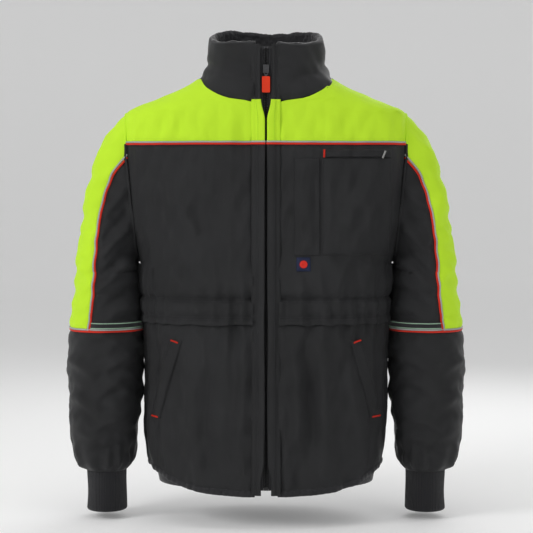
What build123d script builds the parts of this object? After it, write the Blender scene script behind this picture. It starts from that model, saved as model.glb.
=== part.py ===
"""A padded high-visibility work jacket, sewn up from separate layers and panels.

The jacket stands as worn: front towards -Y, the wearer's left towards +X, up is +Z.
Heights are worked out from the middle of the front hem; every piece is then moved so
that the centre of the hanger loop is the origin.
"""
from build123d import *
import math
import os

# ---------------------------------------------------------------- driving sizes, mm
BODY_LENGTH = 754.0        # front hem up to the shoulder at the neck
CHEST_WIDTH = 480.0        # across the front between the armhole seams
BODY_DEPTH = 256.0         # front to back at the chest
HEM_WIDTH = 412.0          # across the bottom edge
NECK_WIDTH = 236.0         # across the collar seam
NECK_DEPTH = 176.0         # front to back at the collar seam
SHOULDER_WIDTH = 522.0     # between the two shoulder tips
SHOULDER_DROP = 64.0       # neck point down to the shoulder tip
UNDERARM_HEIGHT = 418.0    # hem up to the bottom of the armhole
COLLAR_FRONT = 106.0       # collar seam to collar edge at the zip
COLLAR_BACK = 84.0         # the same at the back
SLEEVE_WIDTH = 140.0       # widest place of the sleeve, side to side
SLEEVE_DEPTH = 172.0       # the same, front to back
SLEEVE_END = 30.0          # height of the seam between sleeve and cuff
CUFF_WIDTH = 77.0
CUFF_DEPTH = 92.0
CUFF_LENGTH = 75.0
YOKE_HEIGHT = 635.0        # the seam under the bright yoke
BAND_HEIGHT = 292.0        # the piped ring round each sleeve
WAIST_HEIGHT = 310.0       # lower edge of the flap over the waist casing
WAIST_FLAP = 45.0          # how tall that flap is
FABRIC = 1.2               # outer cloth with its seam folds
WADDING = 7.0
LINING = 1.0
FLEECE = 4.5
BINDING = 10.0             # height of the hem binding
LIP_WIDTH = 15.5           # each lip beside the zip
LIP_GAP = 17.0             # between the two lips
PIPING = 4.0               # width of the coloured cord
TAPE_PIPING = 2.6          # width of the reflective cord above it
LOOP_RADIUS = 11.0         # inside of the hanger loop
LOOP_TAPE = 2.0
LOOP_WIDTH = 8.0
PULL_LENGTH = 41.0
PULL_WIDTH = 14.4
PULL_THICK = 3.0
SLIDER_LENGTH = 15.0
SLIDER_WIDTH = 10.4
SLIDER_HEIGHT = 769.0      # where the slider is parked

# ---------------------------------------------------------------- fits
GAP = 0.3                  # between one layer and the next
SEAM_GAP = 0.3             # between the sleeve and the body at the armhole
ARM_GAP = 4.0              # hanging sleeve to the side of the body
REACH = 600.0              # longer than any cut has to be

OUT_IN = FABRIC
WAD_OUT = OUT_IN + GAP
WAD_IN = WAD_OUT + WADDING
LIN_OUT = WAD_IN + GAP
LIN_IN = LIN_OUT + LINING
FLEECE_OUT = LIN_IN - FLEECE
COLLAR_WAD_IN = FLEECE_OUT - GAP
LAID = 0.5                 # what is laid on the cloth stands off it by this
PATCH_IN = -LAID
PATCH_OUT = -LAID - FABRIC
TACK_LIFT = LAID + FABRIC + LAID
TACK_THICK = 0.8

NECK_FRONT = BODY_LENGTH - 45.0
NECK_BACK = BODY_LENGTH + 14.0
TOP_FRONT = NECK_FRONT + COLLAR_FRONT
TOP_BACK = NECK_BACK + COLLAR_BACK
TIP_HEIGHT = BODY_LENGTH - SHOULDER_DROP
FRONT_LEAN = 50.0          # the zip line leans back by this much from hem to collar edge
FRONT_HEM = -0.586 * BODY_DEPTH


# ---------------------------------------------------------------- curves
def smooth(table, at):
    """Monotone cubic through the rows of a table, carried on level past both ends."""
    xs = [row[0] for row in table]
    ys = [row[1] for row in table]
    if at <= xs[0]:
        return ys[0]
    if at >= xs[-1]:
        return ys[-1]
    steps = [(ys[i + 1] - ys[i]) / (xs[i + 1] - xs[i]) for i in range(len(xs) - 1)]
    slopes = [steps[0]]
    for before, after in zip(steps, steps[1:]):
        if before * after <= 0:
            slopes.append(0.0)
        else:
            slopes.append(2 * before * after / (before + after))
    slopes.append(steps[-1])
    i = max(k for k in range(len(xs) - 1) if xs[k] <= at)
    span = xs[i + 1] - xs[i]
    t = (at - xs[i]) / span
    return (ys[i] * (1 + 2 * t) * (1 - t) ** 2 + slopes[i] * span * t * (1 - t) ** 2
            + ys[i + 1] * t * t * (3 - 2 * t) + slopes[i + 1] * span * t * t * (t - 1))


WIDTHS = [
    (-0.05 * BODY_LENGTH, 0.98 * HEM_WIDTH / 2),
    (0.0, HEM_WIDTH / 2),
    (0.28 * UNDERARM_HEIGHT, HEM_WIDTH / 2 + 0.5 * (0.963 * CHEST_WIDTH - HEM_WIDTH) / 2 + 7),
    (0.67 * UNDERARM_HEIGHT, 0.952 * CHEST_WIDTH / 2),
    (0.96 * UNDERARM_HEIGHT, 0.971 * CHEST_WIDTH / 2),
    (UNDERARM_HEIGHT, 0.983 * CHEST_WIDTH / 2),
    (UNDERARM_HEIGHT + 0.37 * (TIP_HEIGHT - UNDERARM_HEIGHT), 1.02 * SHOULDER_WIDTH / 2),
    (UNDERARM_HEIGHT + 0.72 * (TIP_HEIGHT - UNDERARM_HEIGHT), 1.06 * SHOULDER_WIDTH / 2),
    (TIP_HEIGHT, 1.004 * SHOULDER_WIDTH / 2),
    (TIP_HEIGHT + 0.47 * SHOULDER_DROP,
     NECK_WIDTH / 2 + 0.56 * (SHOULDER_WIDTH - NECK_WIDTH) / 2),
    (TIP_HEIGHT + 0.90 * SHOULDER_DROP,
     NECK_WIDTH / 2 + 0.13 * (SHOULDER_WIDTH - NECK_WIDTH) / 2),
    (BODY_LENGTH + 8, NECK_WIDTH / 2),
    (BODY_LENGTH + 36, 0.925 * NECK_WIDTH / 2),
    (BODY_LENGTH + 126, 0.88 * NECK_WIDTH / 2),
]
NECK_Y = FRONT_HEM + FRONT_LEAN * (BODY_LENGTH / TOP_FRONT) + NECK_DEPTH
BACKS = [
    (-0.05 * BODY_LENGTH, 0.45 * BODY_DEPTH),
    (0.0, 0.46 * BODY_DEPTH),
    (0.53 * BODY_LENGTH, 0.50 * BODY_DEPTH),
    (0.74 * BODY_LENGTH, 0.53 * BODY_DEPTH),
    (0.86 * BODY_LENGTH, 0.50 * BODY_DEPTH),
    (0.93 * BODY_LENGTH, 0.41 * BODY_DEPTH),
    (BODY_LENGTH, NECK_Y),
    (BODY_LENGTH + 40, NECK_Y - 9),
    (BODY_LENGTH + 126, NECK_Y - 8),
]
SQUARENESS = [
    (0.0, 2.4),
    (0.3 * BODY_LENGTH, 2.5),
    (0.69 * BODY_LENGTH, 3.0),
    (0.92 * BODY_LENGTH, 2.7),
    (BODY_LENGTH, 2.3),
    (BODY_LENGTH + 60, 2.15),
]


BODY_STATIONS = [-8, 20, 50, 110, 180, 250, 310, 355, 385]
CHEST_STATIONS = [0.0, 0.06, 0.15, 0.3, 0.5, 0.66, 0.79, 0.9]
SHOULDER_STATIONS = [0.0, 0.2, 0.45, 0.7, 0.85]
COLLAR_STATIONS = [6, 34, 76, 112]


def all_stations():
    """The heights that every layer and panel shares."""
    rows = list(BODY_STATIONS)
    rows += [UNDERARM_HEIGHT + f * (TIP_HEIGHT - UNDERARM_HEIGHT) for f in CHEST_STATIONS]
    rows += [TIP_HEIGHT + f * SHOULDER_DROP for f in SHOULDER_STATIONS]
    return sorted(rows + [BODY_LENGTH + h for h in COLLAR_STATIONS])


def half_width(z):
    return smooth(WIDTHS, z)


def front_y(z):
    """The zip line: straight from the hem to the collar edge."""
    return FRONT_HEM + FRONT_LEAN * z / TOP_FRONT


def section(z, inset=0.0):
    """Half width, middle y, half depth and squareness, straight between the stations."""
    rows = all_stations()
    if z <= rows[0] or z >= rows[-1]:
        return true_section(z, inset)
    below = max(row for row in rows if row <= z)
    above = min(row for row in rows if row > z)
    share = (z - below) / (above - below)
    return tuple(a + (b - a) * share for a, b in
                 zip(true_section(below, inset), true_section(above, inset)))


def true_section(z, inset):
    up = z + inset
    front = front_y(z) + inset
    back = smooth(BACKS, up) - inset
    return half_width(up) - inset, (front + back) / 2, (back - front) / 2, smooth(SQUARENESS, up)


def signed_power(value, power):
    return math.copysign(abs(value) ** power, value)


ROUND = 2 * math.pi


def stations(low, high):
    """The heights of the sections from low to high."""
    return [low] + [z for z in all_stations() if low + 0.5 < z < high - 0.5] + [high]


def around(angle, z, inset):
    """A point of one body layer; the zip is at -90 degrees, the wearer's left side at 0."""
    a, middle, b, power = section(z, inset)
    return (a * signed_power(math.cos(angle), 2 / power),
            middle + b * signed_power(math.sin(angle), 2 / power), z)


def front_angle(x, z, inset):
    """Where the front of a layer stands x away from the middle."""
    a, _, _, power = section(z, inset)
    return -math.acos(min(abs(x) / a, 1.0) ** (power / 2))


def row_edges(outer, inner):
    outer = [Vector(*p) for p in outer]
    inner = [Vector(*p) for p in inner]
    return [Edge.make_spline(outer), Edge.make_line(outer[-1], inner[-1]),
            Edge.make_spline(inner[::-1]), Edge.make_line(inner[0], outer[0])]


def strip(rows):
    """A panel through thin closed sections; each row is its outer and its inner arc."""
    edges = [row_edges(outer, inner) for outer, inner in rows]
    faces = [Face(Wire(edges[0])), Face(Wire(edges[-1]))]
    for below, above in zip(edges, edges[1:]):
        faces += [Face.make_surface_from_curves(a, b) for a, b in zip(below, above)]
    panel = Solid(Shell(faces))
    assert panel.is_valid and panel.volume > 0
    return panel


def arc(start, end, steps, point):
    return [point(start + (end - start) * k / steps) for k in range(steps + 1)]


# ---------------------------------------------------------------- cutting tools
def prism(points, y0=-REACH, y1=REACH):
    """A flat outline in X and Z, carried from y0 to y1."""
    outline = Wire.make_polygon([Vector(x, y0, z) for x, z in points], close=True)
    return Solid.extrude(Face(outline), Vector(0, y1 - y0, 0))


def side_profile(points, reach=REACH):
    """A flat outline in Y and Z, carried across the whole width."""
    outline = Wire.make_polygon([Vector(-reach, y, z) for y, z in points], close=True)
    return Solid.extrude(Face(outline), Vector(2 * reach, 0, 0))


HEM_RISE = 27.0            # the hem climbs this much from the zip to the side


def hem_cut(lift):
    """Everything under a hem line lifted by so much."""
    line = []
    for k in range(-8, 9):
        f = k / 8
        line.append((1.25 * f * HEM_WIDTH / 2, lift + HEM_RISE * 1.25 ** 2 * f * f))
    return prism([(-REACH, line[0][1])] + line + [(REACH, line[-1][1]),
                                                  (REACH, -REACH), (-REACH, -REACH)])


ABOVE_NECK = side_profile([
    (-REACH, NECK_FRONT - 6), (front_y(NECK_FRONT), NECK_FRONT),
    (front_y(NECK_FRONT) + 0.16 * NECK_DEPTH, NECK_FRONT + 15),
    (front_y(NECK_FRONT) + 0.34 * NECK_DEPTH, BODY_LENGTH - 9),
    (front_y(NECK_FRONT) + 0.52 * NECK_DEPTH, BODY_LENGTH + 2),
    (front_y(NECK_FRONT) + 0.76 * NECK_DEPTH, NECK_BACK - 5),
    (NECK_Y, NECK_BACK), (REACH, NECK_BACK + 4),
    (REACH, BODY_LENGTH + REACH), (-REACH, BODY_LENGTH + REACH)])

ABOVE_COLLAR = side_profile([
    (-REACH, TOP_FRONT - (TOP_BACK - TOP_FRONT) * 2.6), (front_y(TOP_FRONT), TOP_FRONT),
    (NECK_Y, TOP_BACK), (REACH, TOP_BACK + 30),
    (REACH, BODY_LENGTH + REACH), (-REACH, BODY_LENGTH + REACH)])

TIP = (SHOULDER_WIDTH / 2, TIP_HEIGHT)
UNDERARM = (half_width(UNDERARM_HEIGHT), UNDERARM_HEIGHT)
ARM_LINE = math.hypot(TIP[0] - UNDERARM[0], TIP[1] - UNDERARM[1])
LINE_X = (TIP[0] - UNDERARM[0]) / ARM_LINE
LINE_Z = (TIP[1] - UNDERARM[1]) / ARM_LINE


def armhole_x(z, shift=0.0):
    """The armhole plane seen from the front; shift moves it square to itself, outwards."""
    return UNDERARM[0] + (z - UNDERARM[1]) * LINE_X / LINE_Z + shift / LINE_Z


# ---------------------------------------------------------------- sleeve form
PIVOT_DROP = 18.0
PIVOT = (UNDERARM[0] - PIVOT_DROP * LINE_X, UNDERARM[1] - PIVOT_DROP * LINE_Z)
FULL_TURN = math.atan2(LINE_Z, LINE_X)
CAP_REACH = [(0.0, 0.0), (0.229, 0.019), (0.488, 0.135), (0.716, 0.413),
             (0.836, 0.666), (0.913, 0.836), (1.0, 1.0)]
CAP_INNER = [(0.0, 0.15), (0.3, 0.28), (0.5, 0.42), (0.68, 0.56), (0.8, 0.70), (1.0, 1.0)]
CAP_TURNS = [0.95, 0.86, 0.74, 0.58, 0.38, 0.18]
SLEEVE_DROP = PIVOT[1] - SLEEVE_END
# share of the way down from the underarm, width share, extra gap, depth share
SLEEVE_ROWS = [
    (0.0, 0.843, 0.0, 1.0), (0.13, 0.900, 0.0, 1.0), (0.32, 0.979, -0.5, 0.98),
    (0.47, 0.993, 0.0, 0.93), (0.62, 0.986, 1.0, 0.88), (0.765, 0.929, 8.0, 0.81),
    (0.85, 0.880, 15.0, 0.76), (0.91, 0.835, 22.0, 0.72), (0.955, 0.755, 29.0, 0.66),
    (0.98, 0.660, 37.0, 0.60),
    (1.0, CUFF_WIDTH / SLEEVE_WIDTH, 44.0, CUFF_DEPTH / SLEEVE_DEPTH),
]
SLEEVE_STATIONS = [0.0, 0.14, 0.28, 0.48, 0.66, 0.80, 0.90, 0.955, 0.98, 1.0]
ARM_FORWARD = 22.0         # how far the cuff hangs in front of the shoulder
ARM_POWER = 0.87           # squareness of the sleeve's sections
SHOULDER_Y = section((TIP_HEIGHT + UNDERARM_HEIGHT) / 2)[1] * 0.5


def sleeve_row(share):
    """Inner x, outer x, half depth and middle y of the hanging sleeve."""
    z = PIVOT[1] - share * SLEEVE_DROP
    wide = SLEEVE_WIDTH * smooth([(r[0], r[1]) for r in SLEEVE_ROWS], share)
    extra = smooth([(r[0], r[2]) for r in SLEEVE_ROWS], share)
    deep = SLEEVE_DEPTH / 2 * smooth([(r[0], r[3]) for r in SLEEVE_ROWS], share)
    inner = half_width(z) + ARM_GAP + extra
    return inner, inner + wide, deep, SHOULDER_Y - ARM_FORWARD * share ** 1.6


def armhole_point(angle, inset, shift):
    """A point of one layer in the armhole plane; angle 0 is the top, 90 degrees the front."""
    def free(z):
        return section(z, inset)[0] - armhole_x(z, shift)

    ends = []
    for far in (UNDERARM_HEIGHT - 40, TIP_HEIGHT + 30):
        near = (TIP_HEIGHT + UNDERARM_HEIGHT) / 2
        for _ in range(40):
            half = (near + far) / 2
            if free(half) > 0:
                near = half
            else:
                far = half
        ends.append(near)
    low, high = ends
    z = (low + high) / 2 + (high - low) / 2 * math.cos(angle)
    a, y, b, power = section(z, inset)
    x = armhole_x(z, shift)
    reach = b * max(1 - min(x / a, 1.0) ** power, 0.0) ** (1 / power)
    return (x, y - math.copysign(reach, math.sin(angle)), z)


def cap_point(angle, turn, inset):
    """A point of a section that stands at a slant over the underarm."""
    inner0, outer0, deep0, _ = sleeve_row(0.0)
    near = outer0 - PIVOT[0]
    out = near + (ARM_LINE + PIVOT_DROP - near) * smooth(CAP_REACH, turn) - inset
    inn = inner0 - PIVOT[0]
    inn += (PIVOT_DROP - inn) * smooth(CAP_INNER, turn) + inset
    deep = deep0 - (deep0 - 0.44 * SLEEVE_DEPTH) * turn ** 2 - inset
    r = (inn + out) / 2 + (out - inn) / 2 * signed_power(math.cos(angle), ARM_POWER)
    slant = FULL_TURN * turn
    return (PIVOT[0] + r * math.cos(slant),
            SHOULDER_Y - deep * signed_power(math.sin(angle), ARM_POWER),
            PIVOT[1] + r * math.sin(slant))


def hanging_point(angle, share, inset):
    inner, outer, deep, middle = sleeve_row(share)
    return ((inner + outer) / 2 + ((outer - inner) / 2 - inset) * signed_power(
                math.cos(angle), ARM_POWER),
            middle - (deep - inset) * signed_power(math.sin(angle), ARM_POWER),
            PIVOT[1] - share * SLEEVE_DROP)


BAND_SHARE = (PIVOT[1] - BAND_HEIGHT) / SLEEVE_DROP


def sleeve_stops(start, end):
    """Places along the sleeve: below 0 the slanting cap, from 0 down the hanging part."""
    rows = [-turn for turn in CAP_TURNS] + SLEEVE_STATIONS
    return [start] + [s for s in rows if start + 0.002 < s < end - 0.002] + [end]


def sleeve_point(angle, stop, inset):
    """Straight between the stops that every layer shares."""
    rows = [-1.0] + [-turn for turn in CAP_TURNS] + SLEEVE_STATIONS
    if stop in rows:
        return true_sleeve_point(angle, stop, inset)
    below = max(row for row in rows if row <= stop)
    above = min(row for row in rows if row > stop)
    share = (stop - below) / (above - below)
    return tuple(a + (b - a) * share for a, b in
                 zip(true_sleeve_point(angle, below, inset), true_sleeve_point(angle, above, inset)))


def true_sleeve_point(angle, stop, inset):
    if stop <= -1.0:
        return armhole_point(angle, inset, SEAM_GAP)
    if stop < 0.0:
        return cap_point(angle, -stop, inset)
    return hanging_point(angle, stop, inset)


def sleeve_strip(stops, outer, inner, start, end, steps=12):
    """A panel of the sleeve; start and end give its edges as angles at each stop."""
    rows = []
    for stop in stops:
        rows.append([arc(start(stop), end(stop), steps,
                         lambda t, s=stop, d=depth: sleeve_point(t, s, d))
                     for depth in (outer, inner)])
    return strip(rows)


# ---------------------------------------------------------------- body layers
LIP_IN = LIP_GAP / 2
LIP_OUT = LIP_IN + LIP_WIDTH
CHANNEL = LIP_OUT + 0.5    # the wadding stops this far from the middle
FLAP_LAP = CHANNEL + 6.0   # and further out behind the storm flap's sewn edge
ALONG = 16                 # steps along one arc


def armhole_angle(z, inset):
    """Where the armhole plane cuts a layer, measured back from the side; 0 below it."""
    if z < UNDERARM_HEIGHT:
        return 0.0
    return -front_angle(armhole_x(z), z, inset)


def body_strip(low, high, outer, inner, start, end, steps=ALONG):
    rows = []
    for z in stations(low, high):
        rows.append([arc(start(z, d), end(z, d), steps, lambda t, z=z, d=d: around(t, z, d))
                     for d in (outer, inner)])
    return strip(rows)


def front_strip(low, high, outer, inner, x_in, x_out=None):
    """A wearer's-left front panel, from x_in to x_out or to the side or armhole edge."""
    def start(z, d):
        return front_angle(x_in, z, d)

    def end(z, d):
        if x_out is None:
            return -armhole_angle(z, d)
        return front_angle(x_out, z, d)

    return body_strip(low, high, outer, inner, start, end, 6 if x_out else ALONG)


def back_strip(low, high, outer, inner):
    return body_strip(low, high, outer, inner, armhole_angle,
                      lambda z, d: math.pi - armhole_angle(z, d), 2 * ALONG)


def wrap_strip(low, high, outer, inner, x_in):
    """A piece all round the body, from one side of the zip to the other."""
    return body_strip(low, high, outer, inner, lambda z, d: front_angle(x_in, z, d),
                      lambda z, d: math.pi - front_angle(x_in, z, d), 4 * ALONG)


NODES = {}


def keep(name, *shapes):
    """Store the solids of one piece."""
    solids = []
    for shape in shapes:
        solids += list(shape.solids())
    NODES[name] = [s for s in solids if abs(s.volume) > 2.0]
    assert NODES[name], name


def keep_pair(name, left):
    """A wearer's-left piece and its mirror image."""
    keep(name + "_left", left)
    keep(name + "_right", left.mirror(Plane.YZ))


TOP = BODY_LENGTH + 9.0
LOW = 4.0
keep_pair("yoke_front", front_strip(YOKE_HEIGHT, TOP, 0, OUT_IN, LIP_OUT) - ABOVE_NECK)
keep_pair("front_upper", front_strip(WAIST_HEIGHT, YOKE_HEIGHT, 0, OUT_IN, LIP_OUT))
keep_pair("front_lower", front_strip(LOW, WAIST_HEIGHT, 0, OUT_IN, LIP_OUT) - hem_cut(BINDING))
keep("yoke_back", back_strip(YOKE_HEIGHT, NECK_BACK + 12, 0, OUT_IN) - ABOVE_NECK)
keep("back_upper", back_strip(WAIST_HEIGHT, YOKE_HEIGHT, 0, OUT_IN))
keep("back_lower", back_strip(LOW, WAIST_HEIGHT, 0, OUT_IN) - hem_cut(BINDING))
lip = front_strip(BINDING + 2, TOP_FRONT + 10, 0, OUT_IN, LIP_IN, LIP_OUT)
lip = (lip - hem_cut(BINDING)) - ABOVE_COLLAR
keep("placket_lips", lip, lip.mirror(Plane.YZ))

COLLAR_LOW = NECK_FRONT - 12
COLLAR_HIGH = TOP_BACK + 12


def collar_layer(outer, inner, x_in):
    shape = wrap_strip(COLLAR_LOW, COLLAR_HIGH, outer, inner, x_in)
    return (shape & ABOVE_NECK) - ABOVE_COLLAR


keep("collar_outer", collar_layer(0, OUT_IN, LIP_OUT))
keep("collar_wadding", collar_layer(WAD_OUT, COLLAR_WAD_IN, FLAP_LAP))
keep("collar_fleece", collar_layer(FLEECE_OUT, LIN_IN, FLAP_LAP))
for label, (outer, inner) in {"wadding": (WAD_OUT, WAD_IN), "lining": (LIN_OUT, LIN_IN)}.items():
    front = (front_strip(LOW, TOP, outer, inner, FLAP_LAP) - hem_cut(BINDING)) - ABOVE_NECK
    if label == "wadding":
        keep_pair("wadding_front", front)
    else:
        keep("lining_front", front, front.mirror(Plane.YZ))
    back = back_strip(LOW, NECK_BACK + 12, outer, inner)
    keep(label + "_back", (back - hem_cut(BINDING)) - ABOVE_NECK)
binding = wrap_strip(-8.0, HEM_RISE + 2.5 * BINDING, 0, LIN_IN, LIP_IN)
keep("hem_binding", (binding & hem_cut(BINDING)) - hem_cut(0.0))

# ---------------------------------------------------------------- pieces laid on the cloth
keep("waist_flap", wrap_strip(WAIST_HEIGHT, WAIST_HEIGHT + WAIST_FLAP, PATCH_OUT, PATCH_IN,
                              LIP_OUT))


def yoke_line(low, high):
    front = front_strip(low, high, PATCH_OUT, PATCH_IN, LIP_OUT)
    return front, front.mirror(Plane.YZ), back_strip(low, high, PATCH_OUT, PATCH_IN)


RED_LOW = YOKE_HEIGHT - PIPING / 2
RED_HIGH = YOKE_HEIGHT + PIPING / 2
keep("yoke_piping_red", *yoke_line(RED_LOW, RED_HIGH))
keep("yoke_piping_silver", *yoke_line(RED_HIGH, RED_HIGH + TAPE_PIPING))

POCKET_IN = 0.21 * CHEST_WIDTH / 2          # pen pocket, side by the zip
PEN_OUT = 0.42 * CHEST_WIDTH / 2
POCKET_OUT = 0.94 * CHEST_WIDTH / 2
POCKET_TOP = YOKE_HEIGHT - 26.0
POCKET_LOW = YOKE_HEIGHT - 202.0
WELT = 16.0
SEAM = 3.0


def patch(low, high, x0, x1):
    return front_strip(low, high, PATCH_OUT, PATCH_IN, x0, x1)


keep("pen_pocket", patch(POCKET_LOW, POCKET_TOP, POCKET_IN, PEN_OUT - SEAM))
keep("chest_pocket", patch(POCKET_LOW, POCKET_TOP, PEN_OUT, POCKET_OUT))
keep("chest_pocket_welt", patch(POCKET_TOP, POCKET_TOP + WELT, PEN_OUT, POCKET_OUT))

HAND_HIGH = (0.72 * CHEST_WIDTH / 2, WAIST_HEIGHT - 30.0)
HAND_LOW = (0.88 * CHEST_WIDTH / 2, WAIST_HEIGHT - 175.0)
HAND_WELT = 22.0
WELT_LIFT = 0.7             # its slanted rows cut across the curve of the cloth


def hand_edge(z):
    share = (z - HAND_LOW[1]) / (HAND_HIGH[1] - HAND_LOW[1])
    return HAND_LOW[0] + (HAND_HIGH[0] - HAND_LOW[0]) * share


hand_welt = body_strip(HAND_LOW[1], HAND_HIGH[1], PATCH_OUT - WELT_LIFT, PATCH_IN - WELT_LIFT,
                       lambda z, d: front_angle(hand_edge(z) - HAND_WELT, z, d),
                       lambda z, d: front_angle(hand_edge(z), z, d), 4)
keep("hand_pocket_welts", hand_welt, hand_welt.mirror(Plane.YZ))

BADGE = 25.0
BADGE_X = 0.28 * CHEST_WIDTH / 2
BADGE_Z = POCKET_LOW - BADGE / 2 - 3
keep("badge_patch", patch(BADGE_Z - BADGE / 2, BADGE_Z + BADGE / 2,
                          BADGE_X - BADGE / 2, BADGE_X + BADGE / 2))


def on_front(x, z, lift):
    """A plane that lies on the front of the body, raised clear of the overlays."""
    def skin(px, pz):
        a, middle, b, power = section(pz)
        return Vector(px, middle - b * (1 - (abs(px) / a) ** power) ** (1 / power), pz)

    here = skin(x, z)
    across = (skin(x + 2, z) - skin(x - 2, z)).normalized()
    up = skin(x, z + 2) - skin(x, z - 2)
    out = across.cross(up).normalized()
    if out.Y > 0:
        out = out * -1
    return Plane(origin=here + out * lift, x_dir=across, z_dir=out)


def tack(x, z, turn, lift=TACK_LIFT):
    """A close-stitched bar across the end of a pocket mouth."""
    base = on_front(x, z, lift)
    return base * Rot(0, 0, turn) * Box(14, 3, TACK_THICK, align=(Align.CENTER,) * 2 + (Align.MIN,))


tacks = [tack(PEN_OUT + 6, POCKET_TOP + WELT / 2, 88), tack(POCKET_OUT - 9, POCKET_TOP + 7, 80)]
for side in (1, -1):
    tacks.append(tack(side * (HAND_HIGH[0] - HAND_WELT / 2), HAND_HIGH[1] - 6, 0, TACK_LIFT + WELT_LIFT))
    tacks.append(tack(side * (HAND_LOW[0] - HAND_WELT / 2), HAND_LOW[1] + 3, 0, TACK_LIFT + WELT_LIFT))
keep("bar_tacks", *tacks)
keep("badge_disc", on_front(BADGE_X, BADGE_Z, TACK_LIFT)
     * Cylinder(BADGE * 0.28, TACK_THICK, align=(Align.CENTER,) * 2 + (Align.MIN,)))

# ---------------------------------------------------------------- zip
COIL_IN = 0.8
COIL_OUT = 4.2
COIL_TOP = 1.4             # depth of the coil under the front face of the lips
COIL_THICK = 2.4
TAPE_OUT = 15.0
TAPE_THICK = 0.8
ZIP_LOW = BINDING + 8.0
ZIP_HIGH = TOP_FRONT - 3.0
SLIDER_CLEAR = 0.4
PLATE = 1.2
STORM_DEPTH = 6.2
STORM_THICK = 1.4
LEAN = math.atan2(FRONT_LEAN, TOP_FRONT)


def along_zip(x0, x1, z0, z1, depth, thick):
    """A straight bar on the zip line, its front face sunk by depth behind the lips."""
    base = Plane(origin=(0, front_y(0), 0), x_dir=(1, 0, 0),
                 z_dir=(0, -math.cos(LEAN), math.sin(LEAN)))
    low = z0 / math.cos(LEAN)
    high = z1 / math.cos(LEAN)
    bar = Solid.make_box(x1 - x0, high - low, thick)
    return base * Pos(x0, low, -depth - thick) * bar


def pair(x0, x1, z0, z1, depth, thick):
    return (along_zip(x0, x1, z0, z1, depth, thick), along_zip(-x1, -x0, z0, z1, depth, thick))


keep("zip_coils", *pair(COIL_IN, COIL_OUT, ZIP_LOW, ZIP_HIGH - 6, COIL_TOP, COIL_THICK))
keep("zip_tapes", *pair(COIL_OUT, TAPE_OUT, ZIP_LOW - 6, ZIP_HIGH - 3,
                        COIL_TOP + COIL_THICK / 2 - TAPE_THICK / 2, TAPE_THICK))
keep("zip_top_stops", *pair(COIL_IN, COIL_OUT, ZIP_HIGH - 6, ZIP_HIGH - 3, COIL_TOP, COIL_THICK))
keep("zip_box", along_zip(-COIL_OUT, COIL_OUT, ZIP_LOW - 6, ZIP_LOW, COIL_TOP - 0.4,
                          COIL_THICK + 0.8))
keep("storm_flap", along_zip(-CHANNEL + 3, FLAP_LAP - GAP, BINDING + 4, ZIP_HIGH - 2,
                             STORM_DEPTH, STORM_THICK))

half_slider = SLIDER_LENGTH / 2
s0 = SLIDER_HEIGHT - half_slider
s1 = SLIDER_HEIGHT + half_slider
w = SLIDER_WIDTH / 2
front_plate = along_zip(-w, w, s0, s1, COIL_TOP - SLIDER_CLEAR - PLATE, PLATE)
back_plate = along_zip(-w, w, s0, s1, COIL_TOP + COIL_THICK + SLIDER_CLEAR, PLATE)
bridge = along_zip(-0.4, 0.4, s1 - 7, s1, COIL_TOP - SLIDER_CLEAR - 0.1,
                   COIL_THICK + 2 * SLIDER_CLEAR + 0.2)
slider = front_plate + back_plate + bridge
for flange in (pair(w - 0.6, w, s0, s1, COIL_TOP - SLIDER_CLEAR - 0.1, 0.8)
               + pair(w - 0.6, w, s0, s1, COIL_TOP + COIL_THICK - 0.3, 0.8)):
    slider = slider + flange
FACE = -(COIL_TOP - SLIDER_CLEAR - PLATE)   # front face of the slider, out from the lips
LUG_HIGH = 3.4
LUG_BAR = 1.0
slider = slider + along_zip(-0.8, 0.8, s0 + 3.0, s0 + 4.4, -FACE - LUG_HIGH, LUG_HIGH + 0.1)
slider = slider + along_zip(-0.8, 0.8, s1 - 4.4, s1 - 3.0, -FACE - LUG_HIGH, LUG_HIGH + 0.1)
slider = slider + along_zip(-0.8, 0.8, s0 + 3.0, s1 - 3.0, -FACE - LUG_HIGH, LUG_BAR)
keep("zip_slider", slider)

pin_out = FACE + (LUG_HIGH - LUG_BAR) / 2   # the pull turns about this line
PIN = Vector(0, front_y(0), 0) + Vector(0, math.sin(LEAN), math.cos(LEAN)) * (
    SLIDER_HEIGHT / math.cos(LEAN)) + Vector(0, -math.cos(LEAN), math.sin(LEAN)) * pin_out
hang = Location(PIN) * Rot(-math.degrees(LEAN), 0, 0)   # it lies along the zip
RING_ARM = 1.3
RING_HALF = 3.4
ring = hang * Rot(0, 90, 0) * Cylinder(0.65, 2 * RING_HALF)
for side in (1, -1):
    ring = ring + hang * Pos(side * (RING_HALF - RING_ARM / 2), 0, -5.0) * Box(
        RING_ARM, RING_ARM, 10.0)
ring = ring + hang * Pos(0, 0, -10.65) * Box(2 * RING_HALF, RING_ARM, RING_ARM)
ring = ring + hang * Pos(0, 0, -12.5) * Box(4.0, RING_ARM, 3.0)
keep("zip_pull_ring", ring)
grip = Box(PULL_WIDTH, PULL_THICK, PULL_LENGTH - 12.0)
grip = fillet(grip.edges().filter_by(Axis.Y), 2.0)
keep("zip_pull_grip", hang * Pos(0, 0, -14.0 - (PULL_LENGTH - 12.0) / 2) * grip)

# ---------------------------------------------------------------- sleeves
CAP_SEAM = [(-1.0, 66.0), (-0.84, 71.0), (-0.5, 75.0), (0.0, 77.0), (0.3, 73.0)]
CORD = math.radians(1.5)
BRIGHT = math.radians(1.9)
UNDER_SEAM = math.pi - 0.004
LAYER_END = 0.958          # wadding and lining stop above the knitted cuff


def seam(stop):
    """The angle of the seam between the bright outer panel and the dark inner one."""
    return math.radians(smooth(CAP_SEAM, stop))


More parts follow.
